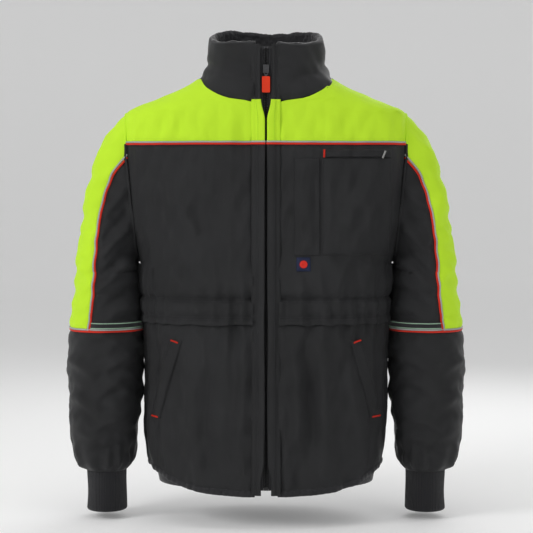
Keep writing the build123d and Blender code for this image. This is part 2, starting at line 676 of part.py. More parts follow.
upper = sleeve_stops(-1.0, BAND_SHARE)
fore = sleeve_stops(BAND_SHARE, 1.0)
short = sleeve_stops(BAND_SHARE, LAYER_END)


def fixed(value):
    return lambda stop: value


def split_ring(stops, outer, inner):
    """A whole tube whose sewn seam lies under the arm."""
    return sleeve_strip(stops, outer, inner, fixed(-UNDER_SEAM), fixed(UNDER_SEAM), 40)


keep_pair("sleeve_outer", sleeve_strip(upper, 0, OUT_IN, lambda s: -seam(s), seam, 18))
keep_pair("sleeve_inner", sleeve_strip(upper, 0, OUT_IN, seam, lambda s: ROUND - seam(s), 24))
keep_pair("forearm", split_ring(fore, 0, OUT_IN))
keep_pair("wadding_sleeve_outer", sleeve_strip(upper, WAD_OUT, WAD_IN, lambda s: -seam(s), seam, 18))
keep_pair("wadding_sleeve_inner", sleeve_strip(upper, WAD_OUT, WAD_IN, seam,
                                               lambda s: ROUND - seam(s), 24))
keep_pair("wadding_forearm", split_ring(short, WAD_OUT, WAD_IN))
keep_pair("lining_sleeve", split_ring(sleeve_stops(-1.0, LAYER_END), LIN_OUT, LIN_IN))


def height_share(z):
    return (PIVOT[1] - z) / SLEEVE_DROP


ring_top = height_share(BAND_HEIGHT + TAPE_PIPING)
red_stops = [BAND_SHARE, height_share(BAND_HEIGHT - PIPING)]
silver_stops = [ring_top, BAND_SHARE]
cord_stops = sleeve_stops(-CAP_TURNS[0], ring_top)


def seam_cords(low, high):
    """Cords along the front and the back seam of the bright panel."""
    front = sleeve_strip(cord_stops, PATCH_OUT, PATCH_IN, lambda s: seam(s) + low,
                         lambda s: seam(s) + high, 3)
    back = sleeve_strip(cord_stops, PATCH_OUT, PATCH_IN, lambda s: -seam(s) - high,
                        lambda s: -seam(s) - low, 3)
    return [front, back]


def keep_cords(name, solids):
    keep(name + "_left", *solids)
    keep(name + "_right", *[s.mirror(Plane.YZ) for s in solids])


keep_cords("sleeve_piping_red",
           seam_cords(-CORD, CORD) + [split_ring(red_stops, PATCH_OUT, PATCH_IN)])
keep_cords("sleeve_piping_silver",
           seam_cords(-CORD - BRIGHT, -CORD) + [split_ring(silver_stops, PATCH_OUT, PATCH_IN)])
keep_pair("sleeve_band", sleeve_strip(
    [height_share(BAND_HEIGHT + TAPE_PIPING + 17), ring_top], PATCH_OUT, PATCH_IN,
    lambda s: seam(s) + 2 * CORD, lambda s: ROUND - seam(s) - 2 * CORD, 24))

cuff_x = (sleeve_row(1.0)[0] + sleeve_row(1.0)[1]) / 2
cuff_y = sleeve_row(1.0)[3]
RIB = 3.2
CUFF_IN = OUT_IN + 3 * GAP
CUFF_ROWS = [(10.0, 0.97), (0.0, 1.0), (-0.12 * CUFF_LENGTH, 1.0),
             (-0.35 * CUFF_LENGTH, 0.95), (-0.7 * CUFF_LENGTH, 0.94), (-CUFF_LENGTH, 0.97)]


def cuff_arc(lift, share, inset):
    return arc(-UNDER_SEAM, UNDER_SEAM, 32, lambda t: (
        cuff_x + (share * CUFF_WIDTH / 2 - inset) * signed_power(math.cos(t), 0.9),
        cuff_y - (share * CUFF_DEPTH / 2 - inset) * signed_power(math.sin(t), 0.9),
        SLEEVE_END + lift))


keep_pair("knit_cuff", strip([(cuff_arc(lift, share, CUFF_IN), cuff_arc(lift, share, CUFF_IN + RIB))
                              for lift, share in CUFF_ROWS]))

# ---------------------------------------------------------------- hanger loop
LOOP_TALL = 2 * (LOOP_RADIUS + LOOP_TAPE)
loop_z = NECK_BACK + 1.0 - LOOP_TALL / 2
inner_back = min(smooth(BACKS, z + LIN_IN) - LIN_IN
                 for z in (loop_z - LOOP_TALL / 2, loop_z, loop_z + LOOP_TALL / 2))
HANGER = Vector(0, inner_back - GAP - LOOP_WIDTH / 2, loop_z)
loop = Location(HANGER) * Rot(90, 0, 0) * (
    Cylinder(LOOP_RADIUS + LOOP_TAPE, LOOP_WIDTH) - Cylinder(LOOP_RADIUS, LOOP_WIDTH))
keep("hanger_loop", loop)

# ---------------------------------------------------------------- write
os.makedirs("parts", exist_ok=True)
for label, solids in NODES.items():
    moved = [solid.moved(Location(-HANGER)) for solid in solids]
    export_step(Compound(children=moved) if len(moved) > 1 else moved[0],
                "parts/" + label + ".step")
print("origin", HANGER, "pin", PIN - HANGER, "tip", Vector(TIP[0], 0, TIP[1]) - HANGER)
print("underarm", UNDERARM, "lean", LEAN, "nodes", len(NODES))
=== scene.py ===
"""Looks of a padded high-visibility work jacket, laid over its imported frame."""
import math

import bpy
import numpy as np
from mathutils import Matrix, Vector, kdtree


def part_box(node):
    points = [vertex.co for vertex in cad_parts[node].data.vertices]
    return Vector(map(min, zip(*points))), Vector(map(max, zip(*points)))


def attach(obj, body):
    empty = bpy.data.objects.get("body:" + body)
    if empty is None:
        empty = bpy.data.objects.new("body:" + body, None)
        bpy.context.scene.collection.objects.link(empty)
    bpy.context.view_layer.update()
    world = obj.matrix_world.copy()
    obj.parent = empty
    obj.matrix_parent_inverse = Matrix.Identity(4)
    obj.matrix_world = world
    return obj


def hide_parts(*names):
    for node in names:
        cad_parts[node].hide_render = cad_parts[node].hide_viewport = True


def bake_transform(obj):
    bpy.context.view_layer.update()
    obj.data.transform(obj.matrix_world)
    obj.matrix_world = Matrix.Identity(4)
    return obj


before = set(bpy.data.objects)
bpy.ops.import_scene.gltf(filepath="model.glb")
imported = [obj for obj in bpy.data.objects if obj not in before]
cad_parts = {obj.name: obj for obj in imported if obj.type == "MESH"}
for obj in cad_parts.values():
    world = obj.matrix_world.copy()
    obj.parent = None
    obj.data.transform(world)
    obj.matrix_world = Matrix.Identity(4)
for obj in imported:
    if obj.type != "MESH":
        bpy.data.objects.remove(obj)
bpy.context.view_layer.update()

# ------------------------------------------------------------ sizes, mm, as in the CAD source
BODY_LENGTH = 754.0
CHEST_WIDTH = 480.0
BODY_DEPTH = 256.0
HEM_WIDTH = 412.0
NECK_WIDTH = 236.0
NECK_DEPTH = 176.0
SHOULDER_WIDTH = 522.0
SHOULDER_DROP = 64.0
UNDERARM = 418.0
SLEEVE_WIDTH = 140.0
SLEEVE_DEPTH = 172.0
SLEEVE_END = 30.0
CUFF_WIDTH = 77.0
CUFF_DEPTH = 92.0
CUFF_LENGTH = 75.0
YOKE = 635.0
BAND = 292.0
WAIST = 310.0
CASING = 355.0
BINDING = 10.0
LIP_OUT = 24.0
NECK_FRONT = BODY_LENGTH - 45.0
NECK_BACK = BODY_LENGTH + 14.0
TOP_FRONT = NECK_FRONT + 106.0
TOP_BACK = NECK_BACK + 84.0
TIP = BODY_LENGTH - SHOULDER_DROP
FRONT_LEAN = 50.0
FRONT_HEM = -0.586 * BODY_DEPTH
LOOP_LOW, LOOP_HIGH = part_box("hanger_loop")
BASE_Z = 756.0             # hanger loop above the hem
BASE_Y = 50.8704           # and behind the middle
PI = math.pi
RNG = np.random.default_rng(7)


def smooth(table, at):
    """Monotone cubic through the rows of a table, level past both ends."""
    xs = np.array([row[0] for row in table], float)
    ys = np.array([row[1] for row in table], float)
    at = np.clip(np.asarray(at, float), xs[0], xs[-1])
    step = np.diff(ys) / np.diff(xs)
    slope = np.zeros_like(ys)
    slope[0], slope[-1] = step[0], step[-1]
    a, b = step[:-1], step[1:]
    same = a * b > 0
    slope[1:-1] = np.where(same, 2 * a * b / np.where(same, a + b, 1.0), 0.0)
    i = np.clip(np.searchsorted(xs, at, side="right") - 1, 0, len(xs) - 2)
    span = xs[i + 1] - xs[i]
    t = (at - xs[i]) / span
    return (ys[i] * (1 + 2 * t) * (1 - t) ** 2 + slope[i] * span * t * (1 - t) ** 2
            + ys[i + 1] * t * t * (3 - 2 * t) + slope[i + 1] * span * t * t * (t - 1))


ARM = TIP - UNDERARM
WIDTHS = [
    (-0.05 * BODY_LENGTH, 0.98 * HEM_WIDTH / 2), (0.0, HEM_WIDTH / 2),
    (0.28 * UNDERARM, HEM_WIDTH / 2 + 0.5 * (0.963 * CHEST_WIDTH - HEM_WIDTH) / 2 + 7),
    (0.67 * UNDERARM, 0.952 * CHEST_WIDTH / 2), (0.96 * UNDERARM, 0.971 * CHEST_WIDTH / 2),
    (UNDERARM, 0.983 * CHEST_WIDTH / 2),
    (UNDERARM + 0.37 * ARM, 1.02 * SHOULDER_WIDTH / 2),
    (UNDERARM + 0.72 * ARM, 1.06 * SHOULDER_WIDTH / 2),
    (TIP, 1.004 * SHOULDER_WIDTH / 2),
    (TIP + 0.47 * SHOULDER_DROP, NECK_WIDTH / 2 + 0.56 * (SHOULDER_WIDTH - NECK_WIDTH) / 2),
    (TIP + 0.90 * SHOULDER_DROP, NECK_WIDTH / 2 + 0.13 * (SHOULDER_WIDTH - NECK_WIDTH) / 2),
    (BODY_LENGTH + 8, NECK_WIDTH / 2), (BODY_LENGTH + 36, 0.925 * NECK_WIDTH / 2),
    (BODY_LENGTH + 126, 0.88 * NECK_WIDTH / 2),
]
NECK_Y = FRONT_HEM + FRONT_LEAN * (BODY_LENGTH / TOP_FRONT) + NECK_DEPTH
BACKS = [
    (-0.05 * BODY_LENGTH, 0.45 * BODY_DEPTH), (0.0, 0.46 * BODY_DEPTH),
    (0.53 * BODY_LENGTH, 0.50 * BODY_DEPTH), (0.74 * BODY_LENGTH, 0.53 * BODY_DEPTH),
    (0.86 * BODY_LENGTH, 0.50 * BODY_DEPTH), (0.93 * BODY_LENGTH, 0.41 * BODY_DEPTH),
    (BODY_LENGTH, NECK_Y), (BODY_LENGTH + 40, NECK_Y - 9), (BODY_LENGTH + 126, NECK_Y - 8),
]
SQUARENESS = [(0.0, 2.4), (0.3 * BODY_LENGTH, 2.5), (0.69 * BODY_LENGTH, 3.0),
              (0.92 * BODY_LENGTH, 2.7), (BODY_LENGTH, 2.3), (BODY_LENGTH + 60, 2.15)]


def front_y(z):
    return FRONT_HEM + FRONT_LEAN * z / TOP_FRONT


def section(z, inset=0.0):
    z = np.asarray(z, float)
    up = z + inset
    front = front_y(z) + inset
    back = smooth(BACKS, up) - inset
    return smooth(WIDTHS, up) - inset, (front + back) / 2, (back - front) / 2, smooth(SQUARENESS, up)


def power(value, exponent):
    return np.sign(value) * np.abs(value) ** exponent


def body_base(angle, z, inset=0.0):
    """The smooth body; the zip is at -90 degrees and the wearer's left side at 0."""
    a, middle, b, n = section(z, inset)
    return np.stack([a * power(np.cos(angle), 2 / n), middle + b * power(np.sin(angle), 2 / n),
                     np.broadcast_to(z, np.shape(a * angle)) + 0.0 * angle], -1)


def front_angle(x, z, inset=0.0):
    a, _, _, n = section(z, inset)
    return -np.arccos(np.clip(np.abs(x) / a, 0, 1) ** (n / 2))


UNDER_X = float(smooth(WIDTHS, UNDERARM))
TIP_X = SHOULDER_WIDTH / 2
ARM_LINE = math.hypot(TIP_X - UNDER_X, ARM)
LINE_X, LINE_Z = (TIP_X - UNDER_X) / ARM_LINE, ARM / ARM_LINE


def armhole_x(z):
    return UNDER_X + (z - UNDERARM) * LINE_X / LINE_Z


def armhole_angle(z):
    return np.where(z < UNDERARM, 0.0, -front_angle(armhole_x(z), z))


# ------------------------------------------------------------ the sleeve's smooth form
PIVOT = (UNDER_X - 18.0 * LINE_X, UNDERARM - 18.0 * LINE_Z)
FULL_TURN = math.atan2(LINE_Z, LINE_X)
CAP_REACH = [(0.0, 0.0), (0.229, 0.019), (0.488, 0.135), (0.716, 0.413),
             (0.836, 0.666), (0.913, 0.836), (1.0, 1.0)]
CAP_INNER = [(0.0, 0.15), (0.3, 0.28), (0.5, 0.42), (0.68, 0.56), (0.8, 0.70), (1.0, 1.0)]
DROP = PIVOT[1] - SLEEVE_END
SLEEVE_ROWS = [
    (0.0, 0.843, 0.0, 1.0), (0.13, 0.900, 0.0, 1.0), (0.32, 0.979, -0.5, 0.98),
    (0.47, 0.993, 0.0, 0.93), (0.62, 0.986, 1.0, 0.88), (0.765, 0.929, 8.0, 0.81),
    (0.85, 0.880, 15.0, 0.76), (0.91, 0.835, 22.0, 0.72), (0.955, 0.755, 29.0, 0.66),
    (0.98, 0.660, 37.0, 0.60), (1.0, CUFF_WIDTH / SLEEVE_WIDTH, 44.0, CUFF_DEPTH / SLEEVE_DEPTH),
]
ARM_POWER = 0.87
SHOULDER_Y = float(section((TIP + UNDERARM) / 2)[1]) * 0.5
CAP_SEAM = [(-1.0, 66.0), (-0.84, 71.0), (-0.5, 75.0), (0.0, 77.0), (0.3, 73.0)]


def seam(stop):
    return np.radians(smooth(CAP_SEAM, stop))


def sleeve_row(share):
    z = PIVOT[1] - share * DROP
    wide = SLEEVE_WIDTH * smooth([(r[0], r[1]) for r in SLEEVE_ROWS], share)
    extra = smooth([(r[0], r[2]) for r in SLEEVE_ROWS], share)
    deep = SLEEVE_DEPTH / 2 * smooth([(r[0], r[3]) for r in SLEEVE_ROWS], share)
    inner = smooth(WIDTHS, z) + 4.0 + extra
    return inner, inner + wide, deep, SHOULDER_Y - 22.0 * np.maximum(share, 0) ** 1.6


def ring_ends():
    ends = []
    for far in (UNDERARM - 40, TIP + 30):
        near = (TIP + UNDERARM) / 2
        for _ in range(40):
            half = (near + far) / 2
            if float(section(half)[0]) > armhole_x(half):
                near = half
            else:
                far = half
        ends.append(near)
    return ends


RING_LOW, RING_HIGH = ring_ends()
INNER0, OUTER0, DEEP0, _ = (float(v) for v in sleeve_row(0.0))


def sleeve_base(angle, stop):
    """The smooth sleeve: stop runs from -1 at the armhole through 0 to 1 at the cuff."""
    angle, stop = np.broadcast_arrays(np.asarray(angle, float), np.asarray(stop, float))
    c, s = np.cos(angle), np.sin(angle)
    z = (RING_LOW + RING_HIGH) / 2 + (RING_HIGH - RING_LOW) / 2 * c
    a, y, b, n = section(z)
    x = armhole_x(z)
    reach = b * np.clip(1 - np.clip(x / a, 0, 1) ** n, 0, 1) ** (1 / n)
    ring = np.stack([x, y - np.sign(s) * reach, z], -1)
    turn = np.clip(-stop, 0, 1)
    near = OUTER0 - PIVOT[0]
    out = near + (ARM_LINE + 18.0 - near) * smooth(CAP_REACH, turn)
    inn = INNER0 - PIVOT[0]
    inn = inn + (18.0 - inn) * smooth(CAP_INNER, turn)
    deep = DEEP0 - (DEEP0 - 0.44 * SLEEVE_DEPTH) * turn ** 2
    r = (inn + out) / 2 + (out - inn) / 2 * power(c, ARM_POWER)
    cap = np.stack([PIVOT[0] + r * np.cos(FULL_TURN * turn),
                    SHOULDER_Y - deep * power(s, ARM_POWER),
                    PIVOT[1] + r * np.sin(FULL_TURN * turn)], -1)
    share = np.clip(stop, 0, 1)
    inner, outer, half, middle = sleeve_row(share)
    hang = np.stack([(inner + outer) / 2 + (outer - inner) / 2 * power(c, ARM_POWER),
                     middle - half * power(s, ARM_POWER), PIVOT[1] - share * DROP + 0 * c], -1)
    mix = np.clip((-stop - 0.88) / 0.12, 0, 1)[..., None]
    mix = mix * mix * (3 - 2 * mix)
    cap = cap * (1 - mix) + ring * mix
    return np.where((stop < 0)[..., None], cap, hang)


def normals(fn, u, v, du, dv):
    """Outward directions of a form, from small steps along both of its ways."""
    a = fn(u + du, v) - fn(u - du, v)
    b = fn(u, v + dv) - fn(u, v - dv)
    n = np.cross(a, b)
    return n / np.maximum(np.linalg.norm(n, axis=-1, keepdims=True), 1e-9)


# ------------------------------------------------------------ folds
def waves(points, scale, seed, count=14, stretch=(1, 1, 1)):
    """Soft random waves, about -1 to 1, with crests about scale mm apart."""
    rng = np.random.default_rng(seed)
    total = 0
    for _ in range(count):
        way = rng.normal(size=3) * np.array(stretch)
        way *= (0.7 + 0.6 * rng.random()) * 2 * PI / scale / max(np.linalg.norm(way), 1e-6)
        total = total + np.sin(points @ way + rng.random() * 2 * PI)
    return total / math.sqrt(count)


def crest(x, z, x0, z0, x1, z1, width, height):
    """One fold along a line from (x0, z0) to (x1, z1), fading out at both ends."""
    dx, dz = x1 - x0, z1 - z0
    length = math.hypot(dx, dz)
    along = ((x - x0) * dx + (z - z0) * dz) / length ** 2
    across = ((x - x0) * dz - (z - z0) * dx) / length
    fade = np.clip(1 - (2 * along - 1) ** 4, 0, 1) * ((along > 0) & (along < 1))
    return height * fade * np.exp(-(across / width) ** 2)


def dip(distance, width, depth):
    return -depth * np.exp(-(distance / width) ** 2)


SEAM_SINK = 1.2
FRONT_FOLDS = [
    (-205, 600, -120, 470, 16, 3.0), (-215, 540, -150, 420, 13, -2.6),
    (205, 600, 150, 480, 16, 3.0), (222, 540, 170, 400, 13, -2.4),
    (-120, 300, -150, 70, 18, 4.0), (-70, 300, -80, 60, 16, 3.2), (-95, 300, -115, 90, 12, -3.0),
    (-40, 300, -45, 110, 12, 2.6), (50, 300, 62, 60, 16, 3.6), (95, 300, 120, 60, 18, 4.0),
    (72, 300, 90, 90, 12, -3.0), (140, 300, 165, 110, 14, 3.0), (-180, 290, -200, 120, 12, 2.6),
    (185, 290, 205, 120, 12, 2.6), (-60, 600, -70, 380, 26, 2.4), (-140, 500, -110, 370, 20, 2.6),
    (150, 420, 120, 365, 14, 2.0), (-100, 440, -80, 360, 12, 2.2), (-170, 430, -150, 362, 12, 2.6),
    (60, 400, 66, 362, 10, 2.0), (190, 430, 180, 362, 12, 2.4), (-30, 660, -120, 700, 20, 2.0),
]
SLEEVE_FOLDS = [
    (246, 560, 300, 500, 9, 4.0), (244, 520, 300, 455, 9, -4.0), (243, 490, 305, 425, 9, 4.5),
    (242, 455, 300, 392, 9, -4.0), (240, 430, 310, 365, 10, 4.5), (236, 380, 300, 330, 9, -3.5),
    (234, 345, 320, 300, 10, 3.5), (345, 420, 305, 360, 12, 3.0), (352, 330, 300, 300, 9, -2.5),
    (236, 250, 300, 220, 10, 3.2), (365, 250, 310, 205, 12, 3.6), (240, 200, 310, 160, 9, -3.0),
    (362, 180, 300, 140, 12, 3.6), (240, 140, 330, 110, 10, 3.2), (355, 110, 290, 85, 10, 3.2),
    (250, 90, 330, 66, 8, -2.6), (330, 560, 300, 470, 14, 2.6), (300, 640, 330, 500, 14, 2.2),
]


def body_disp(points):
    x, y, z = points[..., 0], points[..., 1], points[..., 2]
    front = 1 / (1 + np.exp((y + 10) / 12))
    total = np.zeros_like(x)
    for x0, z0, x1, z1, width, height in FRONT_FOLDS:
        total += front * crest(x, z, x0, z0, x1, z1, width * 0.8, height * 1.5)
        total += (1 - front) * crest(-x, z, x0 * 0.9, z0, x1 * 0.9, z1, width * 0.8, height * 1.3)
    low = np.clip((CASING - z) / 300, 0, 1) * np.clip(z / 60, 0, 1)
    angle = np.arctan2(y, x * 0.55)
    total += 2.3 * low * np.sin(angle * 21 + 0.8 * np.sin(z / 60)) * (np.abs(x) > 30)
    near = np.exp(-((z - CASING) / 45) ** 2) + np.exp(-((z - WAIST) / 35) ** 2)
    total += 1.7 * near * np.sin(angle * 46 + 2 * np.sin(angle * 7))
    calm = np.clip((NECK_FRONT + 20 - z) / 60, 0.25, 1)
    total += calm * (1.8 * waves(points, 120, 3, stretch=(1, 1, 0.5))
                     + 1.5 * waves(points, 36, 4, stretch=(1, 1, 0.2))
                     + 0.4 * waves(points, 17, 5, stretch=(1, 1, 0.3)))
    total += dip(z - YOKE, 7, 3.0) + dip(z - CASING, 5, 3.2) + dip(z - (CASING - 31), 5, 2.4)
    total += 3.5 * np.exp(-((z - CASING - 34) / 26) ** 2)       # the body blouses over the casing
    total += np.where(y < -20, dip(np.abs(x) - LIP_OUT, 3.5, 1.6), 0)
    total += np.where(z < UNDERARM, dip(y, 7, 1.5), 0)
    total -= 2.5 * np.clip(1 - z / 30, 0, 1)
    near = np.clip((armhole_x(z) - np.abs(x)) / 16, 0, 1)
    near = np.where(z > RING_LOW - 5, near * near * (3 - 2 * near), 1)
    return total * near - SEAM_SINK * (1 - near)


def sleeve_disp(points):
    x, y, z = points[..., 0], points[..., 1], points[..., 2]
    front = 1 / (1 + np.exp((y + 6) / 14))
    total = np.zeros_like(x)
    for x0, z0, x1, z1, width, height in SLEEVE_FOLDS:
        total += (0.35 + 0.65 * front) * crest(x, z, x0, z0, x1, z1, width * 0.85, height * 1.35)
        total += (1 - front) * crest(x, z, x0, z0 - 30, x1, z1 + 10, width, height * 0.8)
    total += 1.4 * waves(points, 90, 11) + 1.4 * waves(points, 36, 12, stretch=(0.6, 1, 1.6))
    total += 0.4 * waves(points, 19, 13)
    toward = np.clip((smooth(WIDTHS, z) + 34 - x) / 22, 0, 1)
    total += 4.2 * toward * np.clip((z - 225) / 45, 0, 1) * np.clip((UNDERARM + 8 - z) / 14, 0, 1)
    total += dip(z - BAND, 6, 2.4)
    gather = np.clip((110 - z) / 70, 0, 1)
    angle = np.arctan2(y + 12, x - 297)
    total += 2.6 * gather * np.sin(angle * 15 + 1.5 * np.sin(3 * angle))
    close = np.clip(1 - (z - SLEEVE_END) / 12, 0, 1)
    total = total * (1 - close) - 1.0 * close
    near = np.clip((x - armhole_x(z)) * LINE_Z / 14, 0, 1)
    near = np.where(z > RING_LOW - 5, near * near * (3 - 2 * near), 1)
    return total * near - SEAM_SINK * (1 - near)


def body_form(angle, z, lift=0.0):
    """Displaced body, lift mm proud of it."""
    base = body_base(angle, z)
    n = normals(body_base, angle, z, 2e-3, 0.8)
    return base + n * (body_disp(base) + lift)[..., None]


BAND_STOP = (PIVOT[1] - BAND) / DROP


def sleeve_seam_dip(angle, stop):
    gap = np.minimum(np.abs(angle - seam(stop)), np.abs(np.abs(angle) - seam(stop)))
    return np.where(stop < BAND_STOP, dip(gap * 80, 7, 2.2), 0)


def sleeve_form(angle, stop, lift=0.0):
    angle, stop = np.broadcast_arrays(np.asarray(angle, float), np.asarray(stop, float))
    base = sleeve_base(angle, stop)
    n = normals(sleeve_base, angle, stop, 3e-3, 3e-3)
    wrapped = (angle + PI) % (2 * PI) - PI
    away = sleeve_disp(base) + sleeve_seam_dip(wrapped, stop)
    return base + n * (away + lift)[..., None]


# ------------------------------------------------------------ materials
def material(name, color, rough=0.85, weave=0.0006, bump=0.25, sheen=0.25, shift=0.12,
             grain=None, metallic=0.0):
    """Woven cloth, or with grain a knitted, curly or moulded surface, from nodes alone."""
    m = bpy.data.materials.new(name)
    m.use_nodes = True
    nodes, links = m.node_tree.nodes, m.node_tree.links
    shader = nodes["Principled BSDF"]
    shader.inputs["Roughness"].default_value = rough
    shader.inputs["Metallic"].default_value = metallic
    shader.inputs["Specular IOR Level"].default_value = 0.28
    if sheen:
        shader.inputs["Sheen Weight"].default_value = sheen
        shader.inputs["Sheen Roughness"].default_value = 0.45
    coord = nodes.new("ShaderNodeTexCoord")
    tone = nodes.new("ShaderNodeTexNoise")
    tone.inputs["Scale"].default_value = 14.0
    tone.inputs["Detail"].default_value = 6.0
    links.new(coord.outputs["Object"], tone.inputs["Vector"])
    ramp = nodes.new("ShaderNodeValToRGB")
    ramp.color_ramp.elements[0].position = 0.3
    ramp.color_ramp.elements[1].position = 0.7
    ramp.color_ramp.elements[0].color = [c * (1 - shift) for c in color] + [1]
    ramp.color_ramp.elements[1].color = [min(c * (1 + shift), 1) for c in color] + [1]
    links.new(tone.outputs["Fac"], ramp.inputs["Fac"])
    links.new(ramp.outputs["Color"], shader.inputs["Base Color"])
    height = None
    if grain in (None, "weave"):
        for axis in ("X", "Z"):
            wave = nodes.new("ShaderNodeTexWave")
            wave.bands_direction = axis
            wave.inputs["Scale"].default_value = 0.314 / weave
            wave.inputs["Distortion"].default_value = 0.6
            wave.inputs["Detail"].default_value = 1.0
            links.new(coord.outputs["Object"], wave.inputs["Vector"])
            if height is None:
                height = wave.outputs["Fac"]
            else:
                mix = nodes.new("ShaderNodeMath")
                mix.operation = "ADD"
                links.new(height, mix.inputs[0])
                links.new(wave.outputs["Fac"], mix.inputs[1])
                height = mix.outputs[0]
    elif grain == "curl":
        cell = nodes.new("ShaderNodeTexVoronoi")
        cell.inputs["Scale"].default_value = 420.0
        links.new(coord.outputs["Object"], cell.inputs["Vector"])
        height = cell.outputs["Distance"]
    else:
        fine = nodes.new("ShaderNodeTexNoise")
        fine.inputs["Scale"].default_value = 900.0
        fine.inputs["Detail"].default_value = 4.0
        links.new(coord.outputs["Object"], fine.inputs["Vector"])
        height = fine.outputs["Fac"]
    relief = nodes.new("ShaderNodeBump")
    relief.inputs["Strength"].default_value = bump
    relief.inputs["Distance"].default_value = 0.0006
    links.new(height, relief.inputs["Height"])
    links.new(relief.outputs["Normal"], shader.inputs["Normal"])
    return m


DARK = material("dark_cloth", (0.0125, 0.0128, 0.0140), 0.52, weave=0.0011, bump=0.55, sheen=0.05,
                shift=0.22)
LIME = material("bright_cloth", (0.53, 0.84, 0.022), 0.7, weave=0.0011, bump=0.4, sheen=0,
                shift=0.03)
RED = material("red_cord", (0.62, 0.018, 0.003), 0.6, weave=0.0004, sheen=0.1)
SILVER = material("reflective_cord", (0.36, 0.36, 0.35), 0.4, weave=0.0005, sheen=0)
PALE = material("pale_thread", (0.30, 0.46, 0.33), 0.8, sheen=0)
FLEECE = material("fleece", (0.016, 0.016, 0.018), 0.95, bump=0.7, sheen=0.5, grain="curl")
KNIT = material("rib_knit", (0.014, 0.014, 0.016), 0.9, weave=0.0009, bump=0.5)
LINING = material("lining", (0.012, 0.012, 0.014), 0.55, weave=0.0003)
TAPE = material("webbing", (0.014, 0.014, 0.016), 0.7, weave=0.0005)
THREAD = material("dark_thread", (0.035, 0.035, 0.038), 0.7, sheen=0)
LIMETHREAD = material("bright_thread", (0.42, 0.70, 0.03), 0.7, sheen=0)
TOOTH = material("zip_plastic", (0.02, 0.02, 0.021), 0.35, sheen=0, bump=0.05, grain="fine")
METAL = material("zip_metal", (0.10, 0.10, 0.105), 0.32, sheen=0, bump=0.05, grain="fine",
                 metallic=0.9)
ORANGE = material("orange_rubber", (0.68, 0.035, 0.006), 0.45, sheen=0, bump=0.15, grain="fine")
NAVY = material("badge_dark", (0.01, 0.015, 0.045), 0.7, weave=0.0004, sheen=0)
BADGE_RED = material("badge_red", (0.60, 0.02, 0.01), 0.6, weave=0.0004, sheen=0)


# ------------------------------------------------------------ mesh helpers
def to_frame(points):
    return (np.asarray(points) - np.array([0.0, BASE_Y, BASE_Z])) / 1000.0


def add_mesh(name, points, faces, mat, body="jacket_body", nodes=()):
    mesh = bpy.data.meshes.new(name)
    mesh.from_pydata(to_frame(points).tolist(), [], faces)
    mesh.polygons.foreach_set("use_smooth", [True] * len(mesh.polygons))
    mesh.materials.append(mat)
    mesh.update()
    piece = bpy.data.objects.new(name, mesh)
    bpy.context.scene.collection.objects.link(piece)
    if body in ("sleeve_left", "sleeve_right"):
        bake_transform(piece)
    else:
        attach(piece, body)
    if nodes:
        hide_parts(*nodes)
    return piece


def grid_quads(nu, nv, base=0, closed=False, flip=False):
    faces = []
    for i in range(nu - (0 if closed else 1)):
        for j in range(nv - 1):
            a, b = i * nv + j, ((i + 1) % nu) * nv + j
            quad = (a + base, b + base, b + 1 + base, a + 1 + base)
            faces.append(quad[::-1] if flip else quad)
    return faces


def shell(outer, inner, closed=False):
    """A closed sheet between an outer and an inner grid of the same size, rims included."""
    nu, nv = outer.shape[:2]
    points = np.concatenate([outer.reshape(-1, 3), inner.reshape(-1, 3)])
    off = nu * nv
    faces = grid_quads(nu, nv, 0, closed) + grid_quads(nu, nv, off, closed, True)
    for i in range(nu - (0 if closed else 1)):
        a, b = i * nv, ((i + 1) % nu) * nv
        faces.append((b, a, a + off, b + off))
        a, b = a + nv - 1, b + nv - 1
        faces.append((a, b, b + off, a + off))
    if not closed:
        for j in range(nv - 1):
            faces.append((j, j + 1, j + 1 + off, j + off))
            a = (nu - 1) * nv + j
            faces.append((a + 1, a, a + off, a + 1 + off))
    return points, faces


def mirror(points, faces):
    points = points * np.array([-1, 1, 1])
    return points, [tuple(f[::-1]) for f in faces]


def even(start, end, z, count, dense=900):
    """Angles from start to end at equal steps along the surface, for each z or stop."""
    start, end, z = (np.broadcast_to(np.asarray(v, float), np.shape(z)) for v in (start, end, z))
    out = np.empty((count + 1, len(z)))
    for j in range(len(z)):
        t = np.linspace(start[j], end[j], dense)
        path = body_base(t, np.full(dense, z[j]))
        run = np.concatenate([[0], np.cumsum(np.linalg.norm(np.diff(path, axis=0), axis=1))])
        out[:, j] = np.interp(np.linspace(0, run[-1], count + 1), run, t)
    return out


def tube(path, radius, sides=8, closed=False, flat=None, up=None):
    """A cord along a path; flat squeezes it along the up directions."""
    path = np.asarray(path, float)
    if closed:
        tangent = np.roll(path, -1, 0) - np.roll(path, 1, 0)
    else:
        tangent = np.gradient(path, axis=0)
    tangent /= np.maximum(np.linalg.norm(tangent, axis=1, keepdims=True), 1e-9)
    if up is None:
        up = np.tile(np.array([0.0, -1.0, 0.0]), (len(path), 1))
    side = np.cross(tangent, up)
    side /= np.maximum(np.linalg.norm(side, axis=1, keepdims=True), 1e-9)
    out = np.cross(side, tangent)
    k = np.arange(sides) * 2 * PI / sides
    grid = (path[:, None] + radius * np.cos(k)[None, :, None] * side[:, None]
            + radius * (flat or 1) * np.sin(k)[None, :, None] * out[:, None])
    n = len(path)
    points = grid.reshape(-1, 3)
    faces = []
    for i in range(n - (0 if closed else 1)):
        for s in range(sides):
            a, b = i * sides + s, i * sides + (s + 1) % sides
            c, d = ((i + 1) % n) * sides + (s + 1) % sides, ((i + 1) % n) * sides + s
            faces.append((a, b, c, d))
    if not closed:
        faces.append(tuple(range(sides))[::-1])
        faces.append(tuple((n - 1) * sides + s for s in range(sides)))
    return points, faces


